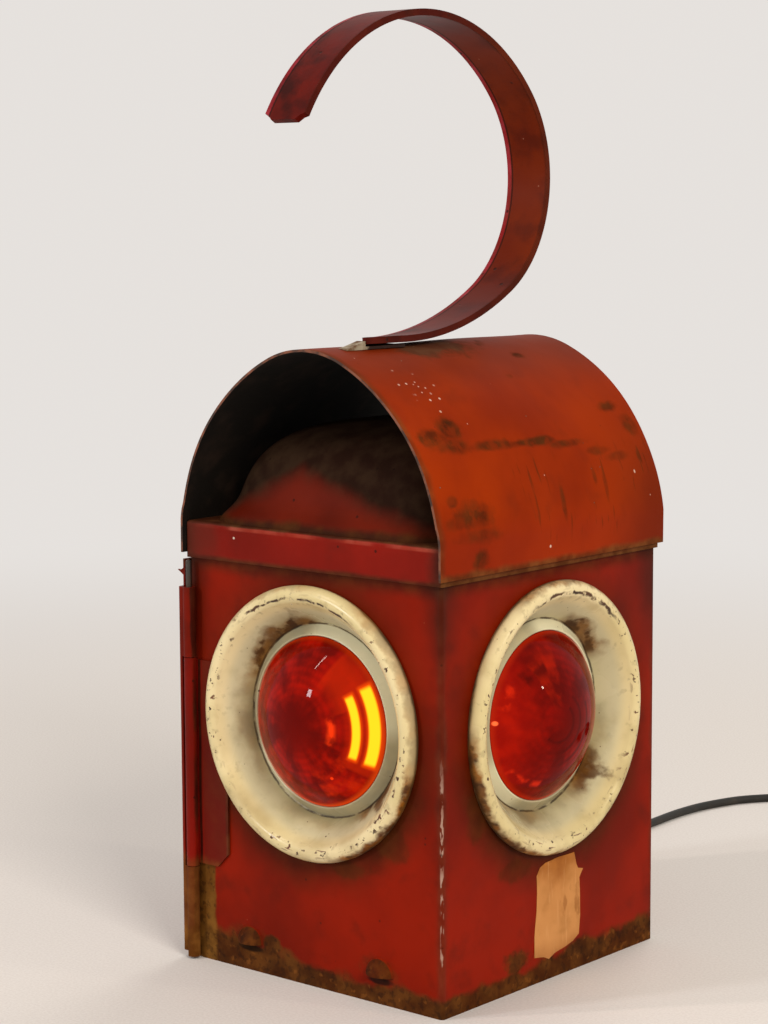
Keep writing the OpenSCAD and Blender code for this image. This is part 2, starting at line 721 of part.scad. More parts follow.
// Turn knob outside the door, with its spindle and collar
module catch_knob() {
    boss_r = 6;
    boss_h = 3;
    wing = 22;
    wing_t = 3;
    wing_h = 9;
    sunk = 1;
    collar_x = skin_x + sheet + clear;
    color(steel) translate([0, catch_y, catch_z]) {
        translate([knob_x - boss_h, 0, 0]) rotate([0, 90, 0]) cylinder(r = boss_r, h = boss_h);
        translate([knob_x - sunk, 0, 0]) rotate([0, 90, 0])
            cylinder(r = spindle_r, h = tongue_x + tongue_t - knob_x + sunk);
        translate([collar_x, 0, 0]) rotate([0, 90, 0])
            cylinder(r = spindle_r + 1.5, h = tongue_x - collar_x);
        translate([knob_x - boss_h + sunk - wing_h, 0, 0]) intersection() {
            translate([0, -wing_t/2, -wing/2]) cube([wing_h, wing_t, wing]);
            translate([wing/2, 0, 0]) rotate([90, 0, 0])
                cylinder(r = wing/2, h = 2*wing_t, center = true);
        }
    }
}

// Tongue on the spindle's inner end; it hangs down when the door is free to open
module catch_tongue() {
    color(steel) translate([tongue_x, catch_y, catch_z]) rotate([0, 90, 0]) difference() {
        linear_extrude(tongue_t) {
            circle(tongue_w/2 + 1);
            translate([0, -tongue_w/2]) square([tongue_len - tongue_w/2, tongue_w]);
            translate([tongue_len - tongue_w/2, 0]) circle(tongue_w/2);
        }
        translate([0, 0, -past]) cylinder(r = spindle_r, h = 3*past);
    }
}

// Bridge bracket that lifts the lampholder off the base pan
module lamp_bracket() {
    foot_z = sheet;
    color(steel) difference() {
        union() {
            translate([-bridge_w/2, -bridge_y, plate_z]) cube([bridge_w, 2*bridge_y, plate_t]);
            for (s = [-1, 1]) {
                translate([-bridge_w/2, s*(bridge_y - plate_t/2) - plate_t/2, foot_z])
                    cube([bridge_w, plate_t, plate_z + plate_t - foot_z]);
                translate([-bridge_w/2, s*(foot_y - plate_t/2) - bridge_foot/2, foot_z])
                    cube([bridge_w, bridge_foot, plate_t]);
            }
        }
        translate([0, bulb_y, plate_z - past]) cylinder(r = stem_r, h = 3*past);
        for (s = [-1, 1], x = [-1, 1])
            translate([x*bridge_w/4, s*foot_y, foot_z - past]) cylinder(r = screw_r, h = 3*past);
        translate([0, bridge_y - plate_t/2, foot_z + plate_t + cord_hole_r + 0.5])
            rotate([90, 0, 0]) cylinder(r = cord_hole_r, h = 4*plate_t, center = true);
    }
}

// Four pan-head screws through the bracket's feet
module bracket_screws() {
    head_r = 3.2;
    head_t = 1.8;
    slot_w = 0.8;
    color(steel) for (s = [-1, 1], x = [-1, 1])
        translate([x*bridge_w/4, s*foot_y, sheet]) {
            cylinder(r = screw_r, h = plate_t + eps);
            translate([0, 0, plate_t]) difference() {
                cylinder(r1 = head_r, r2 = 0.8*head_r, h = head_t);
                translate([-head_r, -slot_w/2, head_t/2]) cube([2*head_r, slot_w, head_t]);
            }
        }
}

// Hollow threaded stem that carries the holder on the bridge
module threaded_stem() {
    color(brass) translate([0, bulb_y, stem_z0]) difference() {
        cylinder(r = stem_r, h = stem_len);
        translate([0, 0, -past]) cylinder(r = stem_r - 1.4, h = stem_len + 2*past);
    }
}

// Two hexagon nuts on the stem, one under the plate and one in the holder
module stem_nuts() {
    color(brass) for (z = [plate_z - nut_h, holder_z + holder_floor])
        translate([0, bulb_y, z]) difference() {
            cylinder(r = nut_r, h = nut_h, $fn = 6);
            translate([0, 0, -past]) cylinder(r = stem_r, h = 3*past);
        }
}

// Lampholder cup with a ribbed skirt
module lampholder() {
    taper_h = 6;
    rib_h = 3;
    rib_out = 1.6;
    color(black) translate([0, bulb_y, holder_z]) difference() {
        union() {
            cylinder(r1 = holder_r - 2.5, r2 = holder_r, h = taper_h);
            translate([0, 0, taper_h]) cylinder(r = holder_r, h = holder_h - taper_h);
            for (z = [10, 18])
                translate([0, 0, z]) cylinder(r = holder_r + rib_out, h = rib_h);
        }
        translate([0, 0, -past]) cylinder(r = stem_r, h = 3*past);
        translate([0, 0, holder_floor]) cylinder(r = holder_r - holder_wall, h = holder_h);
    }
}

// Bulb housing: cap inside the holder and a flared shell above it
module bulb_housing() {
    cap_r = holder_r - holder_wall - 0.2;
    cap_len = 18;
    flare_t = 5;
    rim = 2;
    color([0.86, 0.85, 0.80]) translate([0, bulb_y, housing_z]) {
        translate([0, 0, -cap_len]) cylinder(r = cap_r, h = cap_len + eps);
        cylinder(r1 = holder_r, r2 = housing_r, h = flare_t);
        translate([0, 0, flare_t]) cylinder(r = housing_r, h = housing_h - flare_t - rim);
        translate([0, 0, housing_h - rim]) cylinder(r1 = housing_r, r2 = housing_r - rim, h = rim);
    }
}

// Two bent tubes that give the light
module bulb_tubes() {
    leg = tube_len - leg_pitch/2 - tube_r;
    color([1, 0.93, 0.75]) translate([0, bulb_y, tube_z0]) rotate([0, 0, tube_turn])
        for (s = [-1, 1]) translate([s*tube_pitch/2, 0, 0]) {
            for (y = [-1, 1]) translate([0, y*leg_pitch/2, 0]) cylinder(r = tube_r, h = leg);
            translate([0, 0, leg]) rotate([90, 0, 90]) rotate_extrude(angle = 180)
                translate([leg_pitch/2, 0]) circle(tube_r);
        }
}

// Rubber grommet in the back wall, with a tapered sleeve outside
module cable_grommet() {
    lip_r = outlet_r + 3;
    color(black) translate([0, wall_y, outlet_z]) rotate([-90, 0, 0]) difference() {
        union() {
            for (z = [0, -sheet - grommet_lip])
                translate([0, 0, z]) cylinder(r = lip_r, h = grommet_lip);
            translate([0, 0, -sheet - eps]) cylinder(r = outlet_r, h = sheet + 2*eps);
            translate([0, 0, grommet_lip])
                cylinder(r1 = outlet_r, r2 = cord_r + 1, h = sleeve_len);
        }
        translate([0, 0, -past]) cylinder(r = cord_r, h = sleeve_len + 3*past);
    }
}

// Cord from the holder's stem to the end of the sleeve
module inner_cord() { color(black) swept_tube(smooth(inner_route, 2), cord_r, 8, [1, 0, 0]); }
// Cord from the sleeve down to the floor and across to the coil
module cord_free() { color(black) swept_tube(smooth(free_route, 2), cord_r, 8, [1, 0, 0]); }
// Spare cord put away in a coil
module cord_coil() { color(black) swept_tube(coil_path, cord_r, 6, [0, 0, 1]); }
// Cord from the coil to the plug
module cord_tail() { color(black) swept_tube(smooth(tail_route, 2), cord_r, 8, [0, 0, 1]); }

// Flat two-pin plug lying on the floor
module plug_body() {
    waist = [boot_len + 12, 9];
    shoulder = [boot_len + plug_len - 8, plug_w/2];
    color(black) translate(plug_back) rotate(plug_turn) difference() {
        union() {
            rotate([0, 90, 0]) cylinder(r1 = cord_r + 1.2, r2 = 5, h = boot_len);
            intersection() {
                translate([0, 0, -plug_t/2]) linear_extrude(plug_t) for (s = [0, 1])
                    mirror([0, s]) polygon([[boot_len - 1, -eps], [boot_len - 1, 5.5], waist,
                        shoulder, [boot_len + plug_len, plug_w/2], [boot_len + plug_len, -eps]]);
                rotate([0, 90, 0]) linear_extrude(boot_len + plug_len)
                    rounded(plug_t, plug_w, 4);
            }
        }
        for (y = [-1, 1])
            translate([boot_len + plug_len - pin_root, y*pin_pitch/2, 0]) rotate([0, 90, 0])
                cylinder(r = plug_pin_r, h = pin_root + eps);
    }
}

// Two round pins in the plug's face
module plug_pins() {
    nose = 1;
    shank = pin_root + pin_len - nose;
    color(steel) translate(plug_back) rotate(plug_turn) for (y = [-1, 1])
        translate([boot_len + plug_len - pin_root, y*pin_pitch/2, 0]) rotate([0, 90, 0]) {
            cylinder(r = plug_pin_r, h = shank);
            translate([0, 0, shank]) cylinder(r1 = plug_pin_r, r2 = plug_pin_r - nose, h = nose);
        }
}

body_shell();
base_pan();
lid_tray();
vent_dome();
hood();
hook_handle();
hook_braze();
bezel_front();
bezel_right();
lens_ring_front();
lens_ring_right();
lens_front();
lens_right();
snap_ring_front();
snap_ring_right();
hinge_leaf();
hinge_pin();
door_panel();
catch_plate();
catch_knob();
catch_tongue();
lamp_bracket();
bracket_screws();
threaded_stem();
stem_nuts();
lampholder();
bulb_housing();
bulb_tubes();
cable_grommet();
inner_cord();
cord_free();
cord_coil();
cord_tail();
plug_body();
plug_pins();
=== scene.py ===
import math

import bmesh
import bpy
from mathutils import Matrix, Vector


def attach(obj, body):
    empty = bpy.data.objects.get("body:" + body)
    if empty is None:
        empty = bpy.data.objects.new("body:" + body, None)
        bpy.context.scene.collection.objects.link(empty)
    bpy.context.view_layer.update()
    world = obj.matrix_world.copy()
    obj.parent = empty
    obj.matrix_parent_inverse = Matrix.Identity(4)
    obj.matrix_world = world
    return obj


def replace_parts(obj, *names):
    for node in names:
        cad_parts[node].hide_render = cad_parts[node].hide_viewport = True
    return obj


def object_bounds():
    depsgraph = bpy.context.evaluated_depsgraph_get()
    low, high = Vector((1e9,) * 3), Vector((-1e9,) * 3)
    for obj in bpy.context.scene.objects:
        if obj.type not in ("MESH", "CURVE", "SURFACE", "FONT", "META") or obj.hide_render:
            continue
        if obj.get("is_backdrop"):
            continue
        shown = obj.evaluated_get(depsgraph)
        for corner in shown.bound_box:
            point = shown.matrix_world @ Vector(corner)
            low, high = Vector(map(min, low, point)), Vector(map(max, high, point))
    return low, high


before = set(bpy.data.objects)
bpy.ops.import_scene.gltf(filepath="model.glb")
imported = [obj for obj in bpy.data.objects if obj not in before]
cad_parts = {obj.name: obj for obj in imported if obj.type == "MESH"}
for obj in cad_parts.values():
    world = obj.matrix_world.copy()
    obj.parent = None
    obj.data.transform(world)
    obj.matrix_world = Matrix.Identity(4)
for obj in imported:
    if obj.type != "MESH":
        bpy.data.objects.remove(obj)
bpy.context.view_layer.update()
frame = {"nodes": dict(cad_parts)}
nodes = frame["nodes"]
scene = bpy.context.scene

# ---- View
# The camera stands off the corner between the two lenses, a little above the lamp's middle,
# and is rolled by a third of a degree.
def placed(name, data):
    """A new object in the scene."""
    obj = bpy.data.objects.new(name, data)
    scene.collection.objects.link(obj)
    return obj


def rotation(degrees, axis):
    return Matrix.Rotation(math.radians(degrees), 4, axis)


scene.view_settings.view_transform = "Standard"
eye = Vector((0.648, -0.7823, 0.3091))
gaze = Vector((-0.6455, 0.7538, -0.1227))
facing = gaze.to_track_quat("-Z", "Y").to_matrix().to_4x4()
camera = placed("camera", bpy.data.cameras.new("camera"))
camera.data.lens = 87.74
camera.data.sensor_width = 36
camera.matrix_world = Matrix.Translation(eye) @ facing @ rotation(-0.31, "Z")
scene.camera = camera


# ---- Floor and light
# A pale floor that fades into an equally pale background, a large soft lamp at the right
# front, a low one at the left that glints in the lenses, a thin strip and a lamp behind.
class Wire:
    """A socket in a node tree. Arithmetic on it adds Math nodes to that tree."""

    def __init__(self, nodes, socket):
        self.nodes = nodes
        self.socket = socket

    def math(self, operation, *values):
        return self.nodes.node("Math", {"operation": operation}, dict(enumerate(values)))

    def __add__(self, other):
        return self.math("ADD", self, other)

    def __sub__(self, other):
        return self.math("SUBTRACT", self, other)

    def __rsub__(self, other):
        return self.math("SUBTRACT", other, self)

    def __mul__(self, other):
        return self.math("MULTIPLY", self, other)

    def __truediv__(self, other):
        return self.math("DIVIDE", self, other)

    def __neg__(self):
        return self.math("MULTIPLY", self, -1)

    def __abs__(self):
        return self.math("ABSOLUTE", self)

    def __pow__(self, other):
        return self.math("POWER", self, other)

    __radd__ = __add__
    __rmul__ = __mul__

    def lower(self, other):
        return self.math("MINIMUM", self, other)

    def higher(self, other):
        return self.math("MAXIMUM", self, other)

    def cosine(self):
        return self.math("COSINE", self)

    def ramp(self, start, end):
        """0 at start, 1 at end, smooth between; end may be the smaller."""
        return self.nodes.node(
            "MapRange",
            {"interpolation_type": "SMOOTHSTEP"},
            {"Value": self, "From Min": start, "From Max": end},
        )


def colour(text):
    """A written sRGB colour such as "7a1c12" as the linear values that sockets hold."""
    parts = [int(text[i : i + 2], 16) / 255 for i in (0, 2, 4)]
    return (*(p / 12.92 if p < 0.04045 else ((p + 0.055) / 1.055) ** 2.4 for p in parts), 1)


class Nodes:
    """A node tree that is made node by node."""

    def __init__(self, tree):
        self.tree = tree

    def node(self, kind, settings, inputs, output=0):
        node = self.tree.nodes.new("ShaderNode" + kind)
        for name, value in settings.items():
            setattr(node, name, value)
        self.feed(node, inputs)
        return Wire(self, node.outputs[output])

    def feed(self, node, inputs):
        for name, value in inputs.items():
            if isinstance(value, Wire):
                self.tree.links.new(value.socket, node.inputs[name])
            else:
                node.inputs[name].default_value = value

    def seen(self):
        """1 for rays that look at the background: straight, mirrored or through glass."""
        camera, glossy, through = (
            self.node("LightPath", {}, {}, f"Is {ray} Ray")
            for ray in ("Camera", "Glossy", "Transmission")
        )
        return camera.higher(glossy).higher(through)


class Finish(Nodes):
    """A material made round its Principled shader, in the lamp's own metres."""

    def __init__(self, name, **constants):
        self.material = bpy.data.materials.new(name)
        self.material.use_nodes = True
        super().__init__(self.material.node_tree)
        self.shader = self.tree.nodes["Principled BSDF"]
        self.feed(self.shader, {k.replace("_", " "): v for k, v in constants.items()})
        self.place = self.node("TexCoord", {}, {}, "Object")
        self.x, self.y, self.z = (
            self.node("SeparateXYZ", {}, {0: self.place}, axis) for axis in "XYZ"
        )

    def look(self, **inputs):
        self.feed(self.shader, {k.replace("_", " "): v for k, v in inputs.items()})
        return self.material

    def mix(self, factor, *shades):
        """The first shade at 0, the second at 1; each a written colour, a value or a Wire."""
        first, second = (colour(s) if isinstance(s, str) else s for s in shades)
        inputs = {0: factor, 6: first, 7: second}
        return self.node("Mix", {"data_type": "RGBA"}, inputs, 2)

    def noise(self, scale, detail=3.0, stretch=None, rough=0.5):
        place = self.place
        if stretch:
            place = self.node("VectorMath", {"operation": "MULTIPLY"}, {0: place, 1: stretch})
        inputs = {"Vector": place, "Scale": scale, "Detail": detail, "Roughness": rough}
        return self.node("TexNoise", {}, inputs)

    def specks(self, scale, size, share):
        """Round specks: 1 inside, for about that share of the pattern's cells."""
        inputs = {"Vector": self.place, "Scale": scale}
        near = self.node("TexVoronoi", {}, inputs, "Distance")
        lot = self.node("TexVoronoi", {}, inputs, "Color")
        lot = self.node("SeparateColor", {}, {0: lot})
        return near.ramp(size, size * 0.6) * lot.ramp(share, share * 0.95)

    def bump(self, height, distance, strength=1.0):
        return self.node("Bump", {}, {"Height": height, "Distance": distance, "Strength": strength})


def as_mesh(name, bm):
    """Turns the bmesh into a mesh and frees it."""
    mesh = bpy.data.meshes.new(name)
    bm.to_mesh(mesh)
    bm.free()
    return mesh


pale = (0.79, 0.755, 0.725, 1)
bm = bmesh.new()
bmesh.ops.create_circle(bm, cap_ends=True, radius=6, segments=96)
floor = placed("floor", as_mesh("floor", bm))
f = Finish("floor_pale", Roughness=0.85)
weave = f.noise(900, 2).ramp(0.3, 0.7)
f.look(Base_Color=f.mix(weave, (0.7, 0.665, 0.635, 1), (0.76, 0.73, 0.7, 1)))
away = (f.x * f.x + f.y * f.y) ** 0.5
glow = f.node("Emission", {}, {"Color": pale})
lit = Wire(f, f.shader.outputs[0])
join = f.node("MixShader", {}, {0: f.seen() * away.ramp(0.35, 1.3), 1: lit, 2: glow})
f.tree.links.new(join.socket, f.tree.nodes["Material Output"].inputs["Surface"])
floor.data.materials.append(f.material)
floor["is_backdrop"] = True

world = bpy.data.worlds.new("studio")
scene.world = world
world.use_nodes = True
sky = Nodes(world.node_tree)
base = sky.tree.nodes["Background"]
sky.feed(base, {"Color": (1.0, 0.95, 0.9, 1), "Strength": 0.4})
lit = Wire(sky, base.outputs[0])
shown = sky.node("Background", {}, {"Color": pale})
blend = sky.node("MixShader", {}, {0: sky.seen(), 1: lit, 2: shown})
sky.tree.links.new(blend.socket, sky.tree.nodes["World Output"].inputs["Surface"])

for name, spot, size, power, tint in (
    ("key", (1.5, -0.75, 1.25), (0.7, 0.7), 24, (1.0, 0.93, 0.84)),
    ("glint", (-0.89, -1.74, 0.76), (0.17, 0.22), 11, (0.95, 0.97, 1.0)),
    ("strip", (-0.75, -1.04, 1.38), (0.04, 0.45), 4.5, (1.0, 0.85, 0.78)),
    ("side", (1.92, 0.53, 0.85), (0.09, 0.09), 4.0, (1.0, 0.9, 0.75)),
    ("back", (-0.3, 1.4, 1.6), (0.9, 0.9), 12, (1.0, 0.94, 0.86)),
):
    light = bpy.data.lights.new(name, "AREA")
    light.shape = "RECTANGLE"
    light.size, light.size_y = size
    light.energy = power
    light.color = tint
    holder = placed(name, light)
    aim = (Vector((0, 0, 0.14)) - Vector(spot)).to_track_quat("-Z", "Y")
    holder.matrix_world = Matrix.Translation(spot) @ aim.to_matrix().to_4x4()
    holder.visible_glossy = name in ("glint", "strip", "side")


# ---- Cord
# Black two-core flex, 4 mm across and about 1.8 m long: it leaves the back wall, drops to
# the floor, runs off behind the lamp and ends in a neat coil and a flat two-pin plug.
def smooth_route(points, cuts):
    """Points of a smooth curve through the route."""
    line = []
    last = len(points) - 1
    for i in range(last):
        a, b, c, d = (Vector(points[min(max(i + k, 0), last)]) for k in (-1, 0, 1, 2))
        for j in range(cuts):
            t = j / cuts
            square, cube = (2 * a - 5 * b + 4 * c - d) * t * t, (3 * b - a - 3 * c + d) * t**3
            line.append(0.5 * (2 * b + (c - a) * t + square + cube))
    return [*line, Vector(points[-1])]


outlet_z = 26
free_route = [
    (0, 96, outlet_z), (0, 102, 26), (-3, 114, 23), (-8, 128, 16), (-15, 144, 8),
    (-24, 162, 3), (-32, 180, 2), (-38, 198, 2), (-41, 214, 2), (-42, 230, 2), (-43, 250, 2),
    (-42, 268, 2), (-39, 282, 2), (-34, 296, 2), (-25, 309, 2), (-12, 323, 2), (4, 335, 2),
    (22, 343, 2), (42, 348, 2), (64, 350, 2), (80, 350, 2), (86, 350, 2),
]
turns, layers, step, out_r, lift = 9, 4, 4.8, 28.5, 4.7
top_z = 2 + 3 * lift
tail_route = [
    (94, 350, top_z), (98, 350, top_z), (112, 349, 14), (125, 344, 10), (136, 335, 6),
    (143, 324, 3.5), (148, 311, 2.5), (150, 298, 3.5), (150, 288, 5.5), (150, 280, 6.8),
    (150, 276, 6.8), (150, 272, 6.8),
]


def coil_point(t):
    """The coil's line after t turns: in and out by layers, rising where it reverses."""
    each = turns / layers
    layer = min(int(t / each), layers - 1)
    along = t - layer * each
    radius = out_r - step * (along if layer % 2 == 0 else each - along)
    height = 2.0
    for k in range(1, layers):
        rise = min(max(2 * (t - k * each) + 0.5, 0), 1)
        height += lift * rise * rise * (3 - 2 * rise)
    turn = 2 * math.pi * t
    return Vector((90 + radius * math.sin(turn), 350 - out_r + radius * math.cos(turn), height))


line = smooth_route(free_route, 4)
line += [coil_point(i / 36) for i in range(turns * 36 + 1)]
line += smooth_route(tail_route, 4)
line = [p / 1000 for p in line]
curve = bpy.data.curves.new("cord", "CURVE")
curve.dimensions = "3D"
curve.bevel_depth = 0.002
curve.bevel_resolution = 4
curve.use_fill_caps = True
spline = curve.splines.new("POLY")
spline.points.add(len(line) - 1)
for point, spot in zip(spline.points, line):
    point.co = (*spot, 1)
cord = placed("cord", curve)
f = Finish("cord_sheath", IOR=1.5)
dust = f.noise(160, 4)
cord_sheath = f.look(
    Base_Color=f.mix(dust.ramp(0.45, 0.8), "17150f", "332c24"),
    Roughness=0.38 + 0.3 * dust,
    Normal=f.bump(f.noise(1400, 2), 0.00008),
)
curve.materials.append(cord_sheath)
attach(cord, "lamp")
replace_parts(cord, "cord_free", "cord_coil", "cord_tail")
cord_length = sum((b - a).length for a, b in zip(line, line[1:]))


# ---- Grommet and sleeve
# Moulded black rubber: a lipped grommet sprung into the back wall, with a ribbed sleeve
# that tapers onto the cord.
def piece(name, bm, material, body, crease=35, weigh=True):
    """Makes the finished mesh an object that rides on a body; sharp past the crease angle.

    Weighed, broad faces keep their own normals and the small bends take up the turn."""
    bm.normal_update()
    limit = math.cos(math.radians(crease))
    normals = []
    areas = {face: face.calc_area() for face in bm.faces}
    for edge in bm.edges:
        edge.smooth = len(edge.link_faces) == 2 and edge.calc_face_angle(0) < math.radians(crease)
    for face in bm.faces:
        face.smooth = True
        for loop in face.loops if weigh else ():
            normal = Vector()
            for near in loop.vert.link_loops:
                if near.face.normal.dot(face.normal) > limit:
                    normal += near.face.normal * areas[near.face] * near.calc_angle()
            normals.append(normal.normalized() if normal.length else face.normal.copy())
    mesh = as_mesh(name, bm)
    if weigh:
        mesh.normals_split_custom_set(normals)
    mesh.materials.append(material)
    obj = placed(name, mesh)
    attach(obj, body)
    return obj


def arc(centre, radius, start, end, steps):
    """Points of a profile's arc, angles in degrees."""
    angles = (math.radians(start + (end - start) * i / steps) for i in range(steps + 1))
    return [(centre[0] + radius * math.cos(a), centre[1] + radius * math.sin(a)) for a in angles]


def turned(profile, steps=128, closed=True):
    """A bmesh spun about +Z from (radius, height) points in millimetres."""
    bm = bmesh.new()
    ring = [bm.verts.new((r / 1000, 0, h / 1000)) for r, h in profile]
    pairs = list(zip(ring, ring[1:])) + ([(ring[-1], ring[0])] if closed else [])
    edges = [bm.edges.new(pair) for pair in pairs]
    bmesh.ops.spin(
        bm, geom=ring + edges, cent=(0, 0, 0), axis=(0, 0, 1), angle=2 * math.pi,
        steps=steps, use_merge=True, use_duplicate=False,
    )
    bmesh.ops.remove_doubles(bm, verts=bm.verts, dist=0.000002)
    bmesh.ops.recalc_face_normals(bm, faces=bm.faces)
    return bm


def moved(bm, matrix):
    """Moves the whole bmesh by the matrix."""
    bmesh.ops.transform(bm, matrix=matrix, verts=bm.verts)


profile = [(2.02, -3)] + arc((7.6, -2.6), 0.4, -90, 0, 3) + arc((7.6, -1.4), 0.4, 0, 90, 3)
profile += [(5, -1), (5, 0)] + arc((7.5, 0.5), 0.5, -90, 0, 3) + arc((7.3, 1.3), 0.7, 0, 90, 4)
for i in range(9):
    outer, low = 5 - 0.19 * i, 2.2 + 2.6 * i
    profile += [(outer, low), (outer, low + 1.5), (outer - 0.75, low + 1.7), (outer - 0.75, low + 2.4)]
profile += [(3.1, 25.4)] + arc((2.7, 25.7), 0.3, 0, 90, 3) + [(2.02, 26)]
bm = turned(profile, 64)
through = Matrix.Translation((0, 0.07, outlet_z / 1000)) @ rotation(-90, "X")
moved(bm, through)
f = Finish("black_rubber", IOR=1.5)
dust = f.noise(220, 4)
black_rubber = f.look(
    Base_Color=f.mix(dust.ramp(0.4, 0.75), "171512", "3b332a"),
    Roughness=0.55 + 0.3 * dust,
    Normal=f.bump(f.noise(1800, 2), 0.0001),
)
sleeve = piece("cord_sleeve", bm, black_rubber, "lamp")
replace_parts(sleeve, "cable_grommet")

# ---- Plug
# Flat two-pin plug moulded in black plastic with a ribbed boot; two plated round pins
# stand in its face.
plug_place = Matrix.Translation((0.15, 0.272, 0.0068)) @ rotation(-90, "Z")
half_outline = [(13, 5.5), (26, 9), (31, 12.6), (39, 17), (48, 17.5)]
outline = half_outline + [(x, -y) for x, y in half_outline[::-1]]
bm = bmesh.new()
face = bm.faces.new([bm.verts.new((x / 1000, y / 1000, -0.0068)) for x, y in outline])
lifted = bmesh.ops.extrude_face_region(bm, geom=[face])["geom"]
lifted = [g for g in lifted if isinstance(g, bmesh.types.BMVert)]
bmesh.ops.translate(bm, vec=(0, 0, 0.0136), verts=lifted)
bmesh.ops.recalc_face_normals(bm, faces=bm.faces)
bmesh.ops.bevel(
    bm, geom=[e for e in bm.edges if e.calc_face_angle(0) > 0.9], offset=0.003, segments=5,
    profile=0.5, affect="EDGES", material=-1,
)
profile = [(0, 0), (2.6, 0)]
for i in range(5):
    outer, low = 3.5 + 0.35 * i, 0.6 + 2.7 * i
    profile += [(outer, low), (outer, low + 1.6), (outer - 0.8, low + 1.8), (outer - 0.8, low + 2.6)]
boot = turned(profile + [(4.6, 14.5), (0, 14.5)], 48, closed=False)
lying = rotation(90, "Y")
moved(boot, lying)
bm.from_mesh(as_mesh("boot", boot))
moved(bm, plug_place)
f = Finish("plug_black", IOR=1.5)
marks = f.noise(500, 3, (1, 0.3, 1))
plug_black = f.look(
    Base_Color=f.mix(marks.ramp(0.5, 0.8), "16140f", "2c2822"),
    Roughness=0.3 + 0.3 * marks,
    Normal=f.bump(f.noise(2500, 1), 0.00005),
)
plug = piece("plug", bm, plug_black, "lamp")
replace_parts(plug, "plug_body")

bm = bmesh.new()
profile = [(0, 41), *arc((1.6, 41.4), 0.4, -90, 0, 2), *arc((1.0, 66.0), 1.0, 0, 90, 5), (0, 67)]
for y in (-9.3, 9.3):
    pin = turned(profile, 32, closed=False)
    moved(pin, lying)
    bmesh.ops.translate(pin, vec=(0, y / 1000, 0), verts=pin.verts)
    bm.from_mesh(as_mesh("pin", pin))
moved(bm, plug_place)
f = Finish("pin_metal", Metallic=1.0)
wear = f.noise(700, 3, (1, 0.15, 1))
pin_metal = f.look(
    Base_Color=f.mix(wear, "b9b4a6", "8f8670"),
    Roughness=0.22 + 0.3 * wear,
    Normal=f.bump(wear, 0.00003),
)
pins = piece("plug_pins_plated", bm, pin_metal, "lamp")
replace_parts(pins, "plug_pins")

# ---- Body
# Four walls folded from one sheet, with a pan let into the foot, under old deep-red gloss:
# darkened round the bezels by dirt and painted shade, rusty along the foot, worn to pale specks on the
# near corner.
lens_z, half_x, half_y, lid_edge, sheet = 0.1065, 0.066, 0.07, 0.167, 0.001


def copied(node):
    """A copy of a frame node's mesh with its loose triangles merged."""
    bm = bmesh.new()
    bm.from_mesh(nodes[node].data)
    bmesh.ops.remove_doubles(bm, verts=bm.verts, dist=0.000001)
    return bm


class Paint(Finish):
    """Old gloss paint on sheet steel; dirt, rust, chips and some painted shade and highlights are laid
    over it in turn.
    """

    def __init__(self, name, light, deep, gloss=0.06):
        super().__init__(name, IOR=1.5, Specular_IOR_Level=gloss)
        self.broad = self.noise(16, 4)
        self.patchy = self.noise(70, 5)
        self.fine = self.noise(420, 3)
        self.grain = self.noise(120, 5).ramp(0.35, 0.68)
        self.base = self.mix(self.broad.ramp(0.35, 0.65), deep, light)
        self.rough = 0.34 + 0.14 * self.broad
        self.height = self.noise(26, 2) * 2.2 + self.patchy * 0.3 + self.fine * 0.08

    def wobble(self, reach):
        """A ragged shift, in metres, for the edge of a mask."""
        return (self.patchy - 0.5) * reach

    def over(self, mask, shades, rough=0.0, lift=0.0):
        """Lays one shade, or two mixed by the fine grain, where the mask is 1."""
        first, second = (shades.split() * 2)[:2]
        tone = self.mix(self.grain, first, second)
        self.base = self.mix(mask, self.base, tone)
        if rough:
            self.rough = self.rough + mask * rough
        if lift:
            self.height = self.height + mask * lift
        return self

    def blot(self, a, b, at, size, ragged=1.0, soft=0.3):
        """1 inside a ragged ellipse about a place on two coordinates, in millimetres."""
        a, b = (a * 1000 - at[0]) / size[0], (b * 1000 - at[1]) / size[1]
        gap = (a * a + b * b) ** 0.5
        gap = gap + (self.patchy - 0.5) * 2.0 * ragged + (self.fine - 0.5) * 0.8 * ragged
        return gap.ramp(1 + soft, 1 - soft)

    def done(self, depth=0.0006, strength=0.55):
        normal = self.bump(self.height, depth, strength)
        return self.look(Base_Color=self.base, Roughness=self.rough.lower(0.95), Normal=normal)


f = Paint("body_red", "8b1800", "6c1100")
x, y, z = f.x, f.y, f.z
front = y.ramp(0.0007 - half_y, 0.0003 - half_y)
right = x.ramp(half_x - 0.0007, half_x - 0.0003)
f.over(f.patchy.ramp(0.52, 0.78) * 0.5, "4e1204")
# Dark haze round the bezels, heaviest below and beside them: dirt with painted shade
high = z - lens_z
bezel_r = 0.0545
past_front = (x * x + high * high) ** 0.5 - bezel_r + (1 - front)
past_right = (y * y + high * high) ** 0.5 - bezel_r + (1 - right)
rim = past_front.lower(past_right) + f.wobble(0.012)
f.over(rim.ramp(0.018, -0.002) * (0.4 + 0.6 * z.ramp(0.12, 0.07)) * 0.9, "2c1403 3c1e06", rough=0.2)
# A dark band under the lid, and a brown edge down each corner
under = (z + f.wobble(0.003)).ramp(lid_edge - 0.007, lid_edge - 0.001)
f.over(under * 0.7, "2c1305 45240b", rough=0.25)
near = (half_x - abs(x)) + (half_y - abs(y))
corner = (near + f.wobble(0.005)).ramp(0.0042, 0.0008)
f.over(corner * 0.55, "3d1e10 5a3320")
# Painted shade down the upper part of each corner
shade = (near + (f.broad - 0.5) * 0.02).ramp(0.014, 0.002) * z.ramp(0.12, 0.15)
f.over(shade * 0.6, "2b1208")
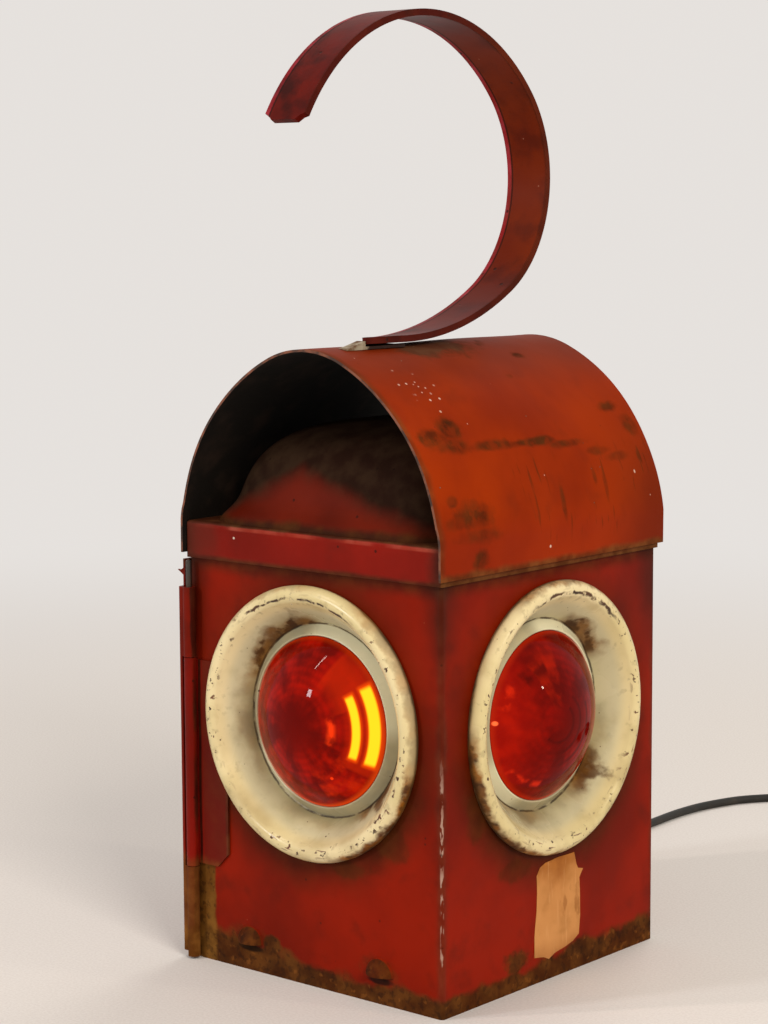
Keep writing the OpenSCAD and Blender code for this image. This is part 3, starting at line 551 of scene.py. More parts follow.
# Rust along the foot in a ragged band, up the hinge side and about the louvres
reach = 0.0085 + 0.006 * (x.ramp(-0.02, -0.05) * front) + 0.0025 * (y.ramp(0.0, 0.06) * right)
foot = (z + f.wobble(0.018) + (f.broad - 0.5) * 0.012 - reach).ramp(0.0025, -0.0025)
strip = (x + f.wobble(0.006)).ramp(-0.0525, -0.0545) * z.ramp(0.052, 0.038) * front
strip = strip.higher(f.blot(x, z, (-22.6, 12.5), (5, 4)) * front)
strip = strip.higher(f.blot(y, z, (-23, 12), (8, 5)) * right * 0.9)
louvres = (-34.5, 34.5)
for louvre_x in louvres:
    strip = strip.higher(f.blot(x, z, (louvre_x, 13), (8, 5), soft=0.5) * front * 0.55)
proud = y.ramp(-0.0702, -0.0708) * z.ramp(0.03, 0.025)
rust = foot.higher(strip).higher(proud * 0.9)
f.over(rust * 0.95, "40220a 5e3814", rough=0.4, lift=0.1)
f.over(strip * x.ramp(-0.045, -0.053) * 0.6, "6e4616 8c6026")
f.over(rust * f.noise(95, 4).ramp(0.5, 0.66) * 0.45, "2c180a")
f.over(rust * f.noise(330, 5).ramp(0.52, 0.62) * 0.45, "25130a")
f.over(rust * f.noise(260, 4).ramp(0.6, 0.7) * 0.4, "8a5220")
# Painted shade in the louvre mouths, under each bulge
for louvre_x in louvres:
    mouth_shade = f.blot(x, z, (louvre_x, 9.4), (6.5, 1.5), 0.3) * y.ramp(-0.069, -0.0695)
    f.over(mouth_shade * 0.85, "120a05")
# Brown patches below and beside the bezels: dirt with painted shade
dirt_and_shade_patches = f.blot(y, z, (-23.5, 49), (10, 4)).higher(f.blot(y, z, (-50, 74), (5, 9))) * right
dirt_and_shade_patches = dirt_and_shade_patches.higher(f.blot(x, z, (19, 51), (12, 3.5)) * front)
dirt_and_shade_patches = dirt_and_shade_patches.higher(f.blot(x, z, (43, 66), (6, 8)) * front)
f.over(dirt_and_shade_patches * 0.5, "3a1c06 4a260a", rough=0.2)
# Pale flecks down the near corner only; small dark pits, a few scratches
flecks = (half_x - x + half_y + y).ramp(0.0013, 0.0009) * f.noise(700, 2, (1, 1, 0.3)).ramp(0.5, 0.58)
flecks = flecks * z.ramp(0.012, 0.024) * z.ramp(0.105, 0.085)
f.over(flecks * 0.65, "a07462 c8a896", lift=-0.2)
f.over(f.specks(260, 0.16, 0.04) * 0.6, "2c1006", lift=-0.2)
f.over(f.specks(330, 0.11, 0.03) * 0.5, "9c5a44")
scratch = f.noise(110, 2, (1, 1, 0.07)).ramp(0.71, 0.735) * f.noise(30, 2).ramp(0.52, 0.62)
f.over(scratch * 0.3, "a5604c")
# The inside is dull and sooty
inner = abs(x).ramp(half_x - 0.0003, half_x - 0.0007) * abs(y).ramp(half_y - 0.0003, half_y - 0.0007)
f.over(inner, "2a150c 4a2a1e", rough=0.4)
body_red = f.done()
shell = piece("folded_walls", copied("body_shell"), body_red, "lamp")
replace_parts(shell, "body_shell")
pan = piece("foot_pan", copied("base_pan"), body_red, "lamp")
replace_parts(pan, "base_pan")

# ---- Lid
# A shallow tray turned down outside the walls, with a round air hole under the dome; its
# fold carries a painted highlight and dirt lies along the top.
bm = bmesh.new()
lid_top, lid_x, lid_y = 0.182, 0.0672, 0.0712
size = Matrix.Diagonal((2 * lid_x, 2 * lid_y, lid_top - lid_edge, 1))
middle = Matrix.Translation((0, 0, (lid_top + lid_edge) / 2))
bmesh.ops.create_cube(bm, size=1, matrix=middle @ size)
under = min(bm.faces, key=lambda face: face.calc_center_median().z)
bmesh.ops.delete(bm, geom=[under], context="FACES_ONLY")
folds = [edge for edge in bm.edges if len(edge.link_faces) == 2]
bmesh.ops.bevel(
    bm, geom=folds, offset=0.0014, segments=5, profile=0.5, affect="EDGES", material=-1
)
flat = max(bm.faces, key=lambda face: face.calc_area() * (face.normal.z > 0.9))
rim = flat.edges[:]
bmesh.ops.delete(bm, geom=[flat], context="FACES_ONLY")
hole = bmesh.ops.create_circle(bm, radius=0.044, segments=96, matrix=Matrix.Translation((0, 0, lid_top)))
hole = list({edge for vert in hole["verts"] for edge in vert.link_edges})
bmesh.ops.triangle_fill(bm, use_beauty=True, edges=rim + hole, normal=(0, 0, 1))


def face_out(bm, axis):
    """Turns all faces one way, the farthest along the axis looking along it."""
    bmesh.ops.recalc_face_normals(bm, faces=bm.faces)
    if max(bm.faces, key=lambda face: face.calc_center_median()[axis]).normal[axis] < 0:
        bmesh.ops.reverse_faces(bm, faces=bm.faces)


face_out(bm, 2)
bmesh.ops.solidify(bm, geom=bm.faces[:], thickness=sheet)
f = Paint("lid_red", "8a1608", "6e1004", gloss=0.07)
x, y, z = f.x, f.y, f.z
f.over(f.patchy.ramp(0.52, 0.8) * 0.4, "571408")
top = (z + f.wobble(0.002)).ramp(0.1806, 0.1816)
f.over(top * 0.9, "2e1a0c 4a3018", rough=0.3)
# A painted pinkish highlight, broken up, along the fold
fold_highlight = abs(z - 0.1805).ramp(0.0011, 0.0003) * f.noise(60, 3, (1, 1, 0.2)).ramp(0.35, 0.6)
f.over(fold_highlight * 0.5, "a8402c b85a48")
low = (z + f.wobble(0.0022)).ramp(0.1695, 0.1672)
f.over(low * 0.8, "2b170a 4a2c14", rough=0.3)
near = (lid_x - abs(x)) + (lid_y - abs(y))
f.over((near + f.wobble(0.01)).ramp(0.009, 0.001) * 0.75, "35190c 4a2616", rough=0.15)
f.over((x + f.wobble(0.02)).ramp(-0.046, -0.06) * y.ramp(-0.07, -0.0708) * 0.6, "4a2014")
# Dust gathered on the strip that shows under the hood's skirts
f.over(abs(x).ramp(0.0662, 0.0668) * z.ramp(0.1705, 0.1695) * 0.8, "4e2c12 6a4222", rough=0.3)
f.over(f.blot(x, z, (-40, 176.8), (0.55, 0.5), 0.2) * y.ramp(-0.07, -0.0708), "c8b8a8")
f.over(f.specks(260, 0.2, 0.06) * 0.8, "26100a")
lid = piece("lid", bm, f.done(), "lamp")
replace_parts(lid, "lid_tray")

# ---- Hood
# One sheet rolled into a tall arch with straight skirts, open at both ends; sooty inside,
# orange-red outside, scuffed along the right shoulder, its cut edge rubbed bare.
crown_r, crown_z, crown_half = 46.6, 207.0, 24.7
flank_r, flank_x, flank_z = 84.75, 15.9, 172.3
skirt_low, spring_z, hood_half = 169.0, 184.0, 73.0
start = math.degrees(math.asin((spring_z - flank_z) / flank_r))
outline = [(68.2, skirt_low + 1.5 * i) for i in range(10)]
outline += arc((-flank_x, flank_z), flank_r, start, 90 - crown_half, 30)
outline += arc((0, crown_z), crown_r, 90 - crown_half, 90, 14)[1:]
outline = [(-x, z) for x, z in outline[:-1]] + outline[::-1]
bm = bmesh.new()
last = len(outline) - 1
bmesh.ops.create_grid(bm, x_segments=last, y_segments=48, size=0.5)
for vert in bm.verts:
    x, z = outline[round((vert.co.x + 0.5) * last)]
    y = vert.co.y * 2 * hood_half
    # The sheet is a little wavy, always inwards of the true arch
    sag = 0.3 + 0.3 * math.sin(y * 0.07 + z * 0.05) * math.sin(z * 0.09)
    if z < spring_z + 4:
        sag *= 0.3
    vert.co = Vector((x - x / 68 * sag, y, z - sag * max(0, (z - 200) / 54))) / 1000
f = Paint("hood_orange", "962d00", "7c2000", gloss=0.04)
f.rough = 0.45 + 0.12 * f.broad
x, y, z = f.x, f.y, f.z
f.over(z.ramp(0.215, 0.25) * y.ramp(-0.02, 0.04) * 0.4, "74240a")
f.over(z.ramp(0.232, 0.252) * 0.45, "622810")
f.over(x.ramp(0.01, -0.03) * 0.5, "84240e")
f.over(f.patchy.ramp(0.55, 0.8) * 0.35, "6a2006")
f.over(z.ramp(0.192, 0.18) * 0.35, "8e240a")
f.over(y.ramp(0.02, 0.07) * z.ramp(0.24, 0.19) * 0.45, "501c06")
dark = 0.0
for at_y, at_z, wide, tall, strength in (
    (-46, 223.5, 5.5, 3.2, 1.0), (-59, 221, 7, 2.4, 0.9), (-49, 217.5, 9, 2.4, 0.9),
    (-28, 216.3, 15, 1.8, 0.9), (-2, 215.7, 14, 1.5, 0.95), (19, 213.8, 9, 1.6, 0.85),
    (38, 209.5, 8, 1.4, 0.6), (49, 206.6, 6, 1.6, 0.6), (-61.5, 198, 2.6, 1.6, 0.9),
    (-49, 192, 9, 4.5, 0.85), (-47, 184, 11, 3, 0.6), (-49, 175.8, 4.5, 3.5, 0.85),
    (-60, 190, 6, 2, 0.5), (58, 225.5, 6, 2, 0.85), (66, 218, 4, 4, 0.7), (6, 193, 1.2, 6, 0.7),
    (36, 194, 1.0, 6, 0.6), (30, 200.6, 1.2, 4, 0.6), (31, 247, 3, 1.0, 0.9), (12, 240, 2, 0.8, 0.6),
):
    dark = (f.blot(y, z, (at_y, at_z), (wide, tall), 1.2, 0.55) * strength).higher(dark)
dark = dark * x.ramp(0.0, 0.01) * (0.5 + 0.5 * f.noise(210, 5).ramp(0.36, 0.6))
streaks = f.noise(60, 3, (1, 8, 1.0)).ramp(0.58, 0.66) * z.ramp(0.214, 0.206) * z.ramp(0.174, 0.184)
streaks = streaks * f.noise(30, 3).ramp(0.42, 0.58) * y.ramp(-0.045, 0.0)
dark = dark.higher(streaks * 0.6)
f.over(dark * 0.85, "2a1a0a 3e2a10", rough=0.3, lift=-0.15)
ridge = f.blot(x, y, (10, -8), (9, 22)) * z.ramp(0.243, 0.25)
f.over(ridge * 0.75, "3a2a1c 4d3c2a", rough=0.3)
low = (z + f.wobble(0.004)).ramp(0.1725, 0.1696)
front = (y + f.wobble(0.005)).ramp(-0.069, -0.0726)
f.over((low * 0.8).higher(front * 0.55), "4a2810 6e4420", rough=0.2)
near = f.blot(y, z, (-44, 237), (9, 6)).higher(f.blot(y, z, (-52, 242), (6, 4)))
white = f.specks(420, 0.3, 0.35) * near * x.ramp(0.0, 0.01)
white = white.higher(f.specks(240, 0.09, 0.1) * 0.8)
white = white.higher(f.blot(y, z, (57.4, 199.6), (0.5, 0.7), 0.3))
white = white.higher(f.blot(y, z, (-5, 175.6), (0.6, 0.6), 0.3))
f.over(white * 0.85, "c9a088 e2c8b4")
f.over(f.specks(240, 0.13, 0.05) * 0.6, "2e1408")
hood_orange = f.done()
f = Finish("hood_soot", Roughness=0.85, Specular_IOR_Level=0.2)
patchy = f.noise(80, 5)
hood_soot = f.look(
    Base_Color=f.mix(patchy.ramp(0.45, 0.75), "120e0a", "241a14"),
    Normal=f.bump(patchy + f.noise(500, 3) * 0.4, 0.0004, 0.6),
)
f = Finish("worn_edge", Metallic=0.3)
patchy = f.noise(150, 4)
worn_edge = f.look(
    Base_Color=f.mix(patchy.ramp(0.4, 0.6), "7a452c", "3c2417"),
    Roughness=0.45 + 0.3 * patchy,
    Normal=f.bump(patchy, 0.0002),
)
hood = piece("barrel_hood", bm, hood_orange, "lamp", weigh=False)
hood.data.materials.append(hood_soot)
hood.data.materials.append(worn_edge)
wall = hood.modifiers.new("wall", "SOLIDIFY")
wall.thickness = sheet
wall.offset = -1
wall.material_offset = 1
wall.material_offset_rim = 2
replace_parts(hood, "hood")

# ---- Vent dome
# A pressed cushion of sheet steel on the lid: flared foot, leaning walls, rounded crown,
# with vent holes along both flanks. Dark brown on top from dust and painted shade of the hood,
# red lower down.
dome_x, dome_y, dome_h, dome_z = 62.4, 69.2, 40.5, 182.0
flare, flare_h, lean, crown_power = 0.07, 6.0, 0.1, 3.6
rings, sides = 44, 160
bm = bmesh.new()
bmesh.ops.create_grid(bm, x_segments=sides, y_segments=rings, size=0.5)
for vert in bm.verts:
    angle = 2 * math.pi * (vert.co.x + 0.5)
    t = math.sin(math.pi / 2 * (vert.co.y + 0.5))
    share = (1 - flare - lean * t) * max(0, 1 - t**crown_power) ** (1 / crown_power)
    share += flare * math.exp(-((t * dome_h / flare_h) ** 2))
    power = 2 / (6.8 - 2 * t)
    c, s = math.cos(angle), math.sin(angle)
    x = dome_x * share * math.copysign(abs(c) ** power, c)
    y = dome_y * share * math.copysign(abs(s) ** power, s)
    vert.co = Vector((x, y, dome_z + 0.05 + t * dome_h)) / 1000
bmesh.ops.remove_doubles(bm, verts=bm.verts, dist=0.00003)
bmesh.ops.dissolve_degenerate(bm, dist=0.00001, edges=bm.edges)
face_out(bm, 2)
bmesh.ops.solidify(bm, geom=bm.faces[:], thickness=sheet)
blank = placed("dome_blank", as_mesh("dome_blank", bm))
drill = bmesh.new()
for i in range(6):
    axis = Matrix.Translation((0, (i - 2.5) * 0.013, 0.2)) @ rotation(90, "Y")
    bmesh.ops.create_cone(
        drill, cap_ends=True, segments=32, radius1=0.0035, radius2=0.0035, depth=0.14, matrix=axis
    )
drill = placed("drill", as_mesh("drill", drill))
cut = blank.modifiers.new("holes", "BOOLEAN")
cut.operation = "DIFFERENCE"
cut.solver = "EXACT"
cut.object = drill
pierced = blank.evaluated_get(bpy.context.evaluated_depsgraph_get()).to_mesh()
bm = bmesh.new()
bm.from_mesh(pierced)
bpy.data.objects.remove(blank)
bpy.data.objects.remove(drill)
f = Paint("dome_red", "661a0a", "4e1206", gloss=0.03)
x, y, z = f.x, f.y, f.z
# The dark top is dust with painted shade of the hood, its edge dipping to either side
slope = abs(x + 0.014) * (0.28 + 0.25 * x.ramp(-0.014, -0.02))
dust = (z + slope + (f.broad - 0.5) * 0.016 + f.wobble(0.006)).ramp(0.199, 0.21)
f.over(dust * 0.95, "1c130c 2b2015", rough=0.35)
f.over((z + f.wobble(0.004)).ramp(0.1862, 0.1828) * 0.85, "2a180c 43280f", rough=0.2)
f.over(f.specks(260, 0.2, 0.07) * 0.7, "1e100a")
dome = piece("pressed_dome", bm, f.done(), "lamp")
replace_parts(dome, "vent_dome")

# ---- Hook
# A strip of 20.6 x 2.7 mm steel bent flat along the ridge, swept up behind and curled over
# to an open end with clipped corners; browner red on the sweep and darker near the tip.
width, thick, ridge = 20.6, 2.7, 253.7
steel_line = [(-47.5 + 3 * i, ridge) for i in range(8)]
steel_line += arc((-23.5, 388.7), 135.0, -90, -60, 16)
steel_line += arc((16.5, 319.4), 55.0, -60, 40.6, 44)[1:]
steel_line += arc((-7.42, 298.9), 86.5, 40.6, 151, 56)[1:]
bm = bmesh.new()
last = len(steel_line) - 1
bmesh.ops.create_grid(bm, x_segments=last, y_segments=10, size=0.5)
tip, before = Vector(steel_line[last]), Vector(steel_line[last - 1])
for vert in bm.verts:
    i = round((vert.co.x + 0.5) * last)
    across = vert.co.y * width
    spot = Vector(steel_line[i])
    if i == last:
        clipped = max(0, abs(across) - (width / 2 - 4))
        spot += (before - tip).normalized() * min(clipped, (tip - before).length * 0.9)
    # The foot is cut on a slant and lies a little over on the round of the ridge
    if i <= 8:
        slant = 23.0 * (8.3 - across) / 17.6 * (across < 8.3)
        spot.x += min(slant, 23.5) * (1 - i / 8)
    spot.y += across * 0.1 * max(0, 1 - i / 34)
    vert.co = Vector((across, *spot)) / 1000
f = Paint("hook_red", "6c2204", "561404", gloss=0.05)
x, y, z = f.x, f.y, f.z
f.over(y.ramp(0.045, -0.01) * 0.75, "4c0808 5c0c0a")
f.over(f.patchy.ramp(0.5, 0.72) * (0.35 + 0.4 * y.ramp(0.02, -0.02)), "240805")
f.over((x + f.wobble(0.0016)).ramp(0.009, 0.0102) * 0.5, "2c1006 3c1a0c", rough=0.15)
# The left margin carries a painted crimson highlight, with a dark line beside it
margin_highlight = x.ramp(-0.008, -0.0085) * (0.45 + 0.55 * f.noise(90, 3).ramp(0.4, 0.6))
f.over(margin_highlight * 0.7, "8e1620 a83644")
f.over(abs(x + 0.0077).ramp(0.0006, 0.0002) * 0.75, "1c0a06 2c120c", rough=0.15)
f.over(f.specks(210, 0.22, 0.12) * 0.8, "1f0f09", lift=-0.3)
f.over(f.specks(330, 0.12, 0.05) * 0.7, "a06a54")
hook = piece("strap_hook", bm, f.done(), "lamp", weigh=False)
wall = hook.modifiers.new("strip", "SOLIDIFY")
wall.thickness = thick / 1000
wall.offset = -1
ease = hook.modifiers.new("eased", "BEVEL")
ease.width = 0.0006
ease.segments = 3
ease.limit_method = "ANGLE"
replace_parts(hook, "hook_handle")

# Pale solder in front of the strap; under it the bed is painted dark brown as painted shade
f = Finish("braze_metal", Metallic=0.3, Specular_IOR_Level=0.3)
lumps = f.noise(260, 4)
solder = f.mix(lumps.ramp(0.35, 0.65), "a89c84", "6b4c30")
braze_metal = f.look(
    Base_Color=f.mix((f.y + (lumps - 0.5) * 0.006).ramp(-0.0475, -0.0455), solder, "2a150c"),
    Roughness=0.5 + 0.3 * lumps,
    Normal=f.bump(lumps, 0.0006),
)
bed = piece("braze_bed", copied("hook_braze"), braze_metal, "lamp", 50)
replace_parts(bed, "hook_braze")

# ---- Bezels and collars
# Spun steel dishes in cream enamel: rolled bead, steep cone and a socket, with a collar
# pressed up round each lens. The enamel is chipped on the bead and rusty in the crease.
upright = rotation(90, "X")
places = {
    "front": Matrix.Translation((0, -half_y, lens_z)) @ upright,
    "right": Matrix.Translation((half_x, 0, lens_z)) @ rotation(90, "Z") @ upright,
}
bead = (51.2, 1.8)


def about_axis(f, side):
    """Coordinates about a lens's axis: across, up, outwards and the distance from it."""
    across, out = (f.x, -(f.y + half_y)) if side == "front" else (f.y, f.x - half_x)
    up = f.z - lens_z
    return across, up, out, (across * across + up * up) ** 0.5


for side, place in places.items():
    profile = arc(bead, 3.8, -28.3, 143, 24) + [(45.8, 0.95), (43.5, -2.1), (41.2, -5.1), (39.4, -7.5)]
    profile += [(38.9, -8.15), (38.42, -8.3), (38.42, -14.8), (39.4, -14.8), (39.4, -9.3), (39.63, -8.9)]
    profile += arc(bead, 2.8, 143, -40, 14)
    bm = turned(profile, 192)
    moved(bm, place)
    f = Paint("cream_enamel_" + side, "e8d6a6", "d8c690", gloss=0.3)
    u, v, out, r = about_axis(f, side)
    turn = v.math("ARCTAN2", v, u)
    grit = f.noise(170, 5)

    def about(degrees, half):
        """1 within half an angle of a direction round the axis, fading over 15 degrees."""
        edges = (math.cos(math.radians(min(half + 15, 179))), math.cos(math.radians(half)))
        return (turn - math.radians(degrees)).cosine().ramp(*edges)

    f.over(f.patchy.ramp(0.5, 0.8) * 0.5, "b09c66")
    f.over(f.noise(45, 3).ramp(0.45, 0.72) * v.ramp(0.01, -0.035) * 0.5, "9b8252")
    f.over(f.noise(230, 3).ramp(0.58, 0.72) * 0.35, "92805a")
    # Grey-green tarnish on the cone and collar, browner towards the crease; the collar is also painted
    # paler as painted light against the shade it sits in
    cone = r.ramp(0.0475, 0.044)
    f.over(cone * 0.6, "bcb89a")
    f.over(r.ramp(0.0384, 0.0381) * 0.9, "f2eecb")
    stained = about(150, 45).higher(about(-60, 50))
    creep = (r - 0.0388 + f.wobble(0.01)).ramp(0.007, 0.0) * cone
    f.over(creep * (0.25 + 0.4 * stained), "6b5a30 86703e")
    # Rust out of the crease, in the places where it has crept up the cone
    if side == "front":
        strong = about(128, 25).higher(about(-42, 12) * 0.9).higher(about(180, 30) * 0.35)
    else:
        strong = about(48, 10).higher(about(-44, 6)).higher(about(-115, 14) * 0.5)
    reach = (r - 0.0392 + (f.noise(110, 4) - 0.5) * 0.014).ramp(0.0054, 0.0005) * r.ramp(0.0382, 0.039)
    f.over(reach * strong * 0.9, "5c3200 7e4e08", rough=0.35, lift=-0.1)
    f.over((reach * strong).ramp(0.55, 0.9) * grit.ramp(0.45, 0.6) * 0.8, "361c04 482604", rough=0.3)
    deep = f.blot(u, v, (30, -28), (5.5, 3.2)).higher(f.blot(u, v, (33, -22), (3, 3.5)) * 0.8)
    f.over(deep * r.ramp(0.0385, 0.0392) * 0.85, "4a2a0c 6a4418", rough=0.3)
    # A thin dark line all round the crease: dirt with painted shade
    thin = abs(r - 0.0388 + (grit - 0.5) * 0.001).ramp(0.0005, 0.0002)
    f.over(thin * grit.ramp(0.3, 0.5) * 0.85, "2a1b0e 40290f", rough=0.3)
    # A dark broken line inside the bead's top, part painted shade under the bead and part cracked and
    # chipped enamel, and chips along its crest
    crest = abs(r - 0.0505).ramp(0.0038, 0.0008)
    if side == "front":
        drift = (turn - 1.62) * 0.0014
        shade_and_crack_line = abs(r - 0.0499 - drift + (grit - 0.5) * 0.0022).ramp(0.0007, 0.0002) * about(95, 26)
        rusty = about(-43, 22).higher(about(20, 35) * 0.5).higher(about(120, 25) * 0.4)
    else:
        shade_and_crack_line = abs(r - 0.05 + (grit - 0.5) * 0.0045).ramp(0.0011, 0.0003) * about(78, 24)
        rusty = about(-38, 18).higher(about(20, 40) * 0.5)
        rusty = rusty.higher(about(85, 25) * 0.7).higher(about(-135, 38) * 0.95)
    f.over(shade_and_crack_line * f.noise(260, 4).ramp(0.38, 0.52), "3a2820 5a3c26", rough=0.3, lift=-0.3)
    around = crest * (0.35 + 0.65 * about(160, 35).higher(about(-5, 45)).higher(about(-80, 30)))
    chips = f.noise(420, 4).ramp(0.61, 0.66) * around
    f.over(chips, "3a2018 6e4630", rough=0.3, lift=-0.4)
    # Thin purple-brown scuffs that run along the bead
    along = f.node("CombineXYZ", {}, {"X": r * 6.0, "Y": turn * 0.05})
    scuff = f.node("TexNoise", {}, {"Vector": along, "Scale": 110.0, "Detail": 4.0})
    scuff = scuff.ramp(0.6, 0.66) * abs(r - 0.0503).ramp(0.003, 0.0012)
    f.over(scuff * (0.25 + 0.75 * about(-10, 45).higher(about(-85, 25))) * 0.8, "5c3434 80503c")
    outer = (r + (grit - 0.5) * 0.006 - rusty * 0.0008).ramp(0.052, 0.0542)
    f.over(outer * rusty, "562c06 9a5e12", rough=0.35, lift=-0.2)
    f.over((outer * rusty).ramp(0.5, 0.8) * f.noise(300, 3).ramp(0.5, 0.62) * 0.6, "341a06")
    # Brown line where the bead meets the wall
    foot = (out + f.wobble(0.003) - rusty * 0.0008).ramp(0.0024, 0.0004) * r.ramp(0.0528, 0.054)
    f.over(foot * 0.9, "3d240e 6e4618", rough=0.3)
    f.over(f.specks(300, 0.16, 0.06), "4c3521")
    f.over(f.specks(420, 0.14, 0.12) * 0.8, "5a4028")
    f.height = f.height + f.noise(18, 2) * 1.2
    f.rough = f.rough - 0.14
    enamel = f.done(0.0004, 0.7)
    bezel = piece("dish_" + side, bm, enamel, "lamp")
    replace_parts(bezel, "bezel_" + side)

    profile = [(38.38, -8.3), (38.38, -9.6), (37.2, -9.6), (34.1, -6.4), (34.1, -5.6)]
    profile += arc((34.6, -5.65), 0.5, 165, 45, 6)
    bm = turned(profile + [(36.7, -6.9), (38.1, -8.15)], 192)
    moved(bm, place)
    collar = piece("collar_" + side, bm, enamel, "lamp")
    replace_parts(collar, "lens_ring_" + side)

    spring = turned(arc((37.6, -13.0), 0.8, 0, 345, 15), 128)
    gap = [v for v in spring.verts if 100 < math.degrees(math.atan2(v.co.y, v.co.x)) < 108]
    bmesh.ops.delete(spring, geom=gap, context="VERTS")
    bmesh.ops.holes_fill(spring, edges=spring.edges, sides=40)
    moved(spring, place)
    if side == "front":
        f = Finish("bare_steel", Metallic=0.85)
        dull = f.noise(90, 4)
        brushed = f.noise(600, 2, (1, 1, 0.12))
        steel = f.mix(brushed, "6c6861", "918c82")
        steel = f.mix(f.y.ramp(-0.07, -0.0704) * 0.8, steel, "2e2b28")
        bare_steel = f.look(
            Base_Color=f.mix(dull.ramp(0.5, 0.72), steel, "5c3a22"),
            Roughness=0.34 + 0.4 * dull.ramp(0.4, 0.8),
            Normal=f.bump(brushed + dull, 0.0001),
        )
    clip = piece("spring_ring_" + side, spring, bare_steel, "lamp")
    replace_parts(clip, "snap_ring_" + side)

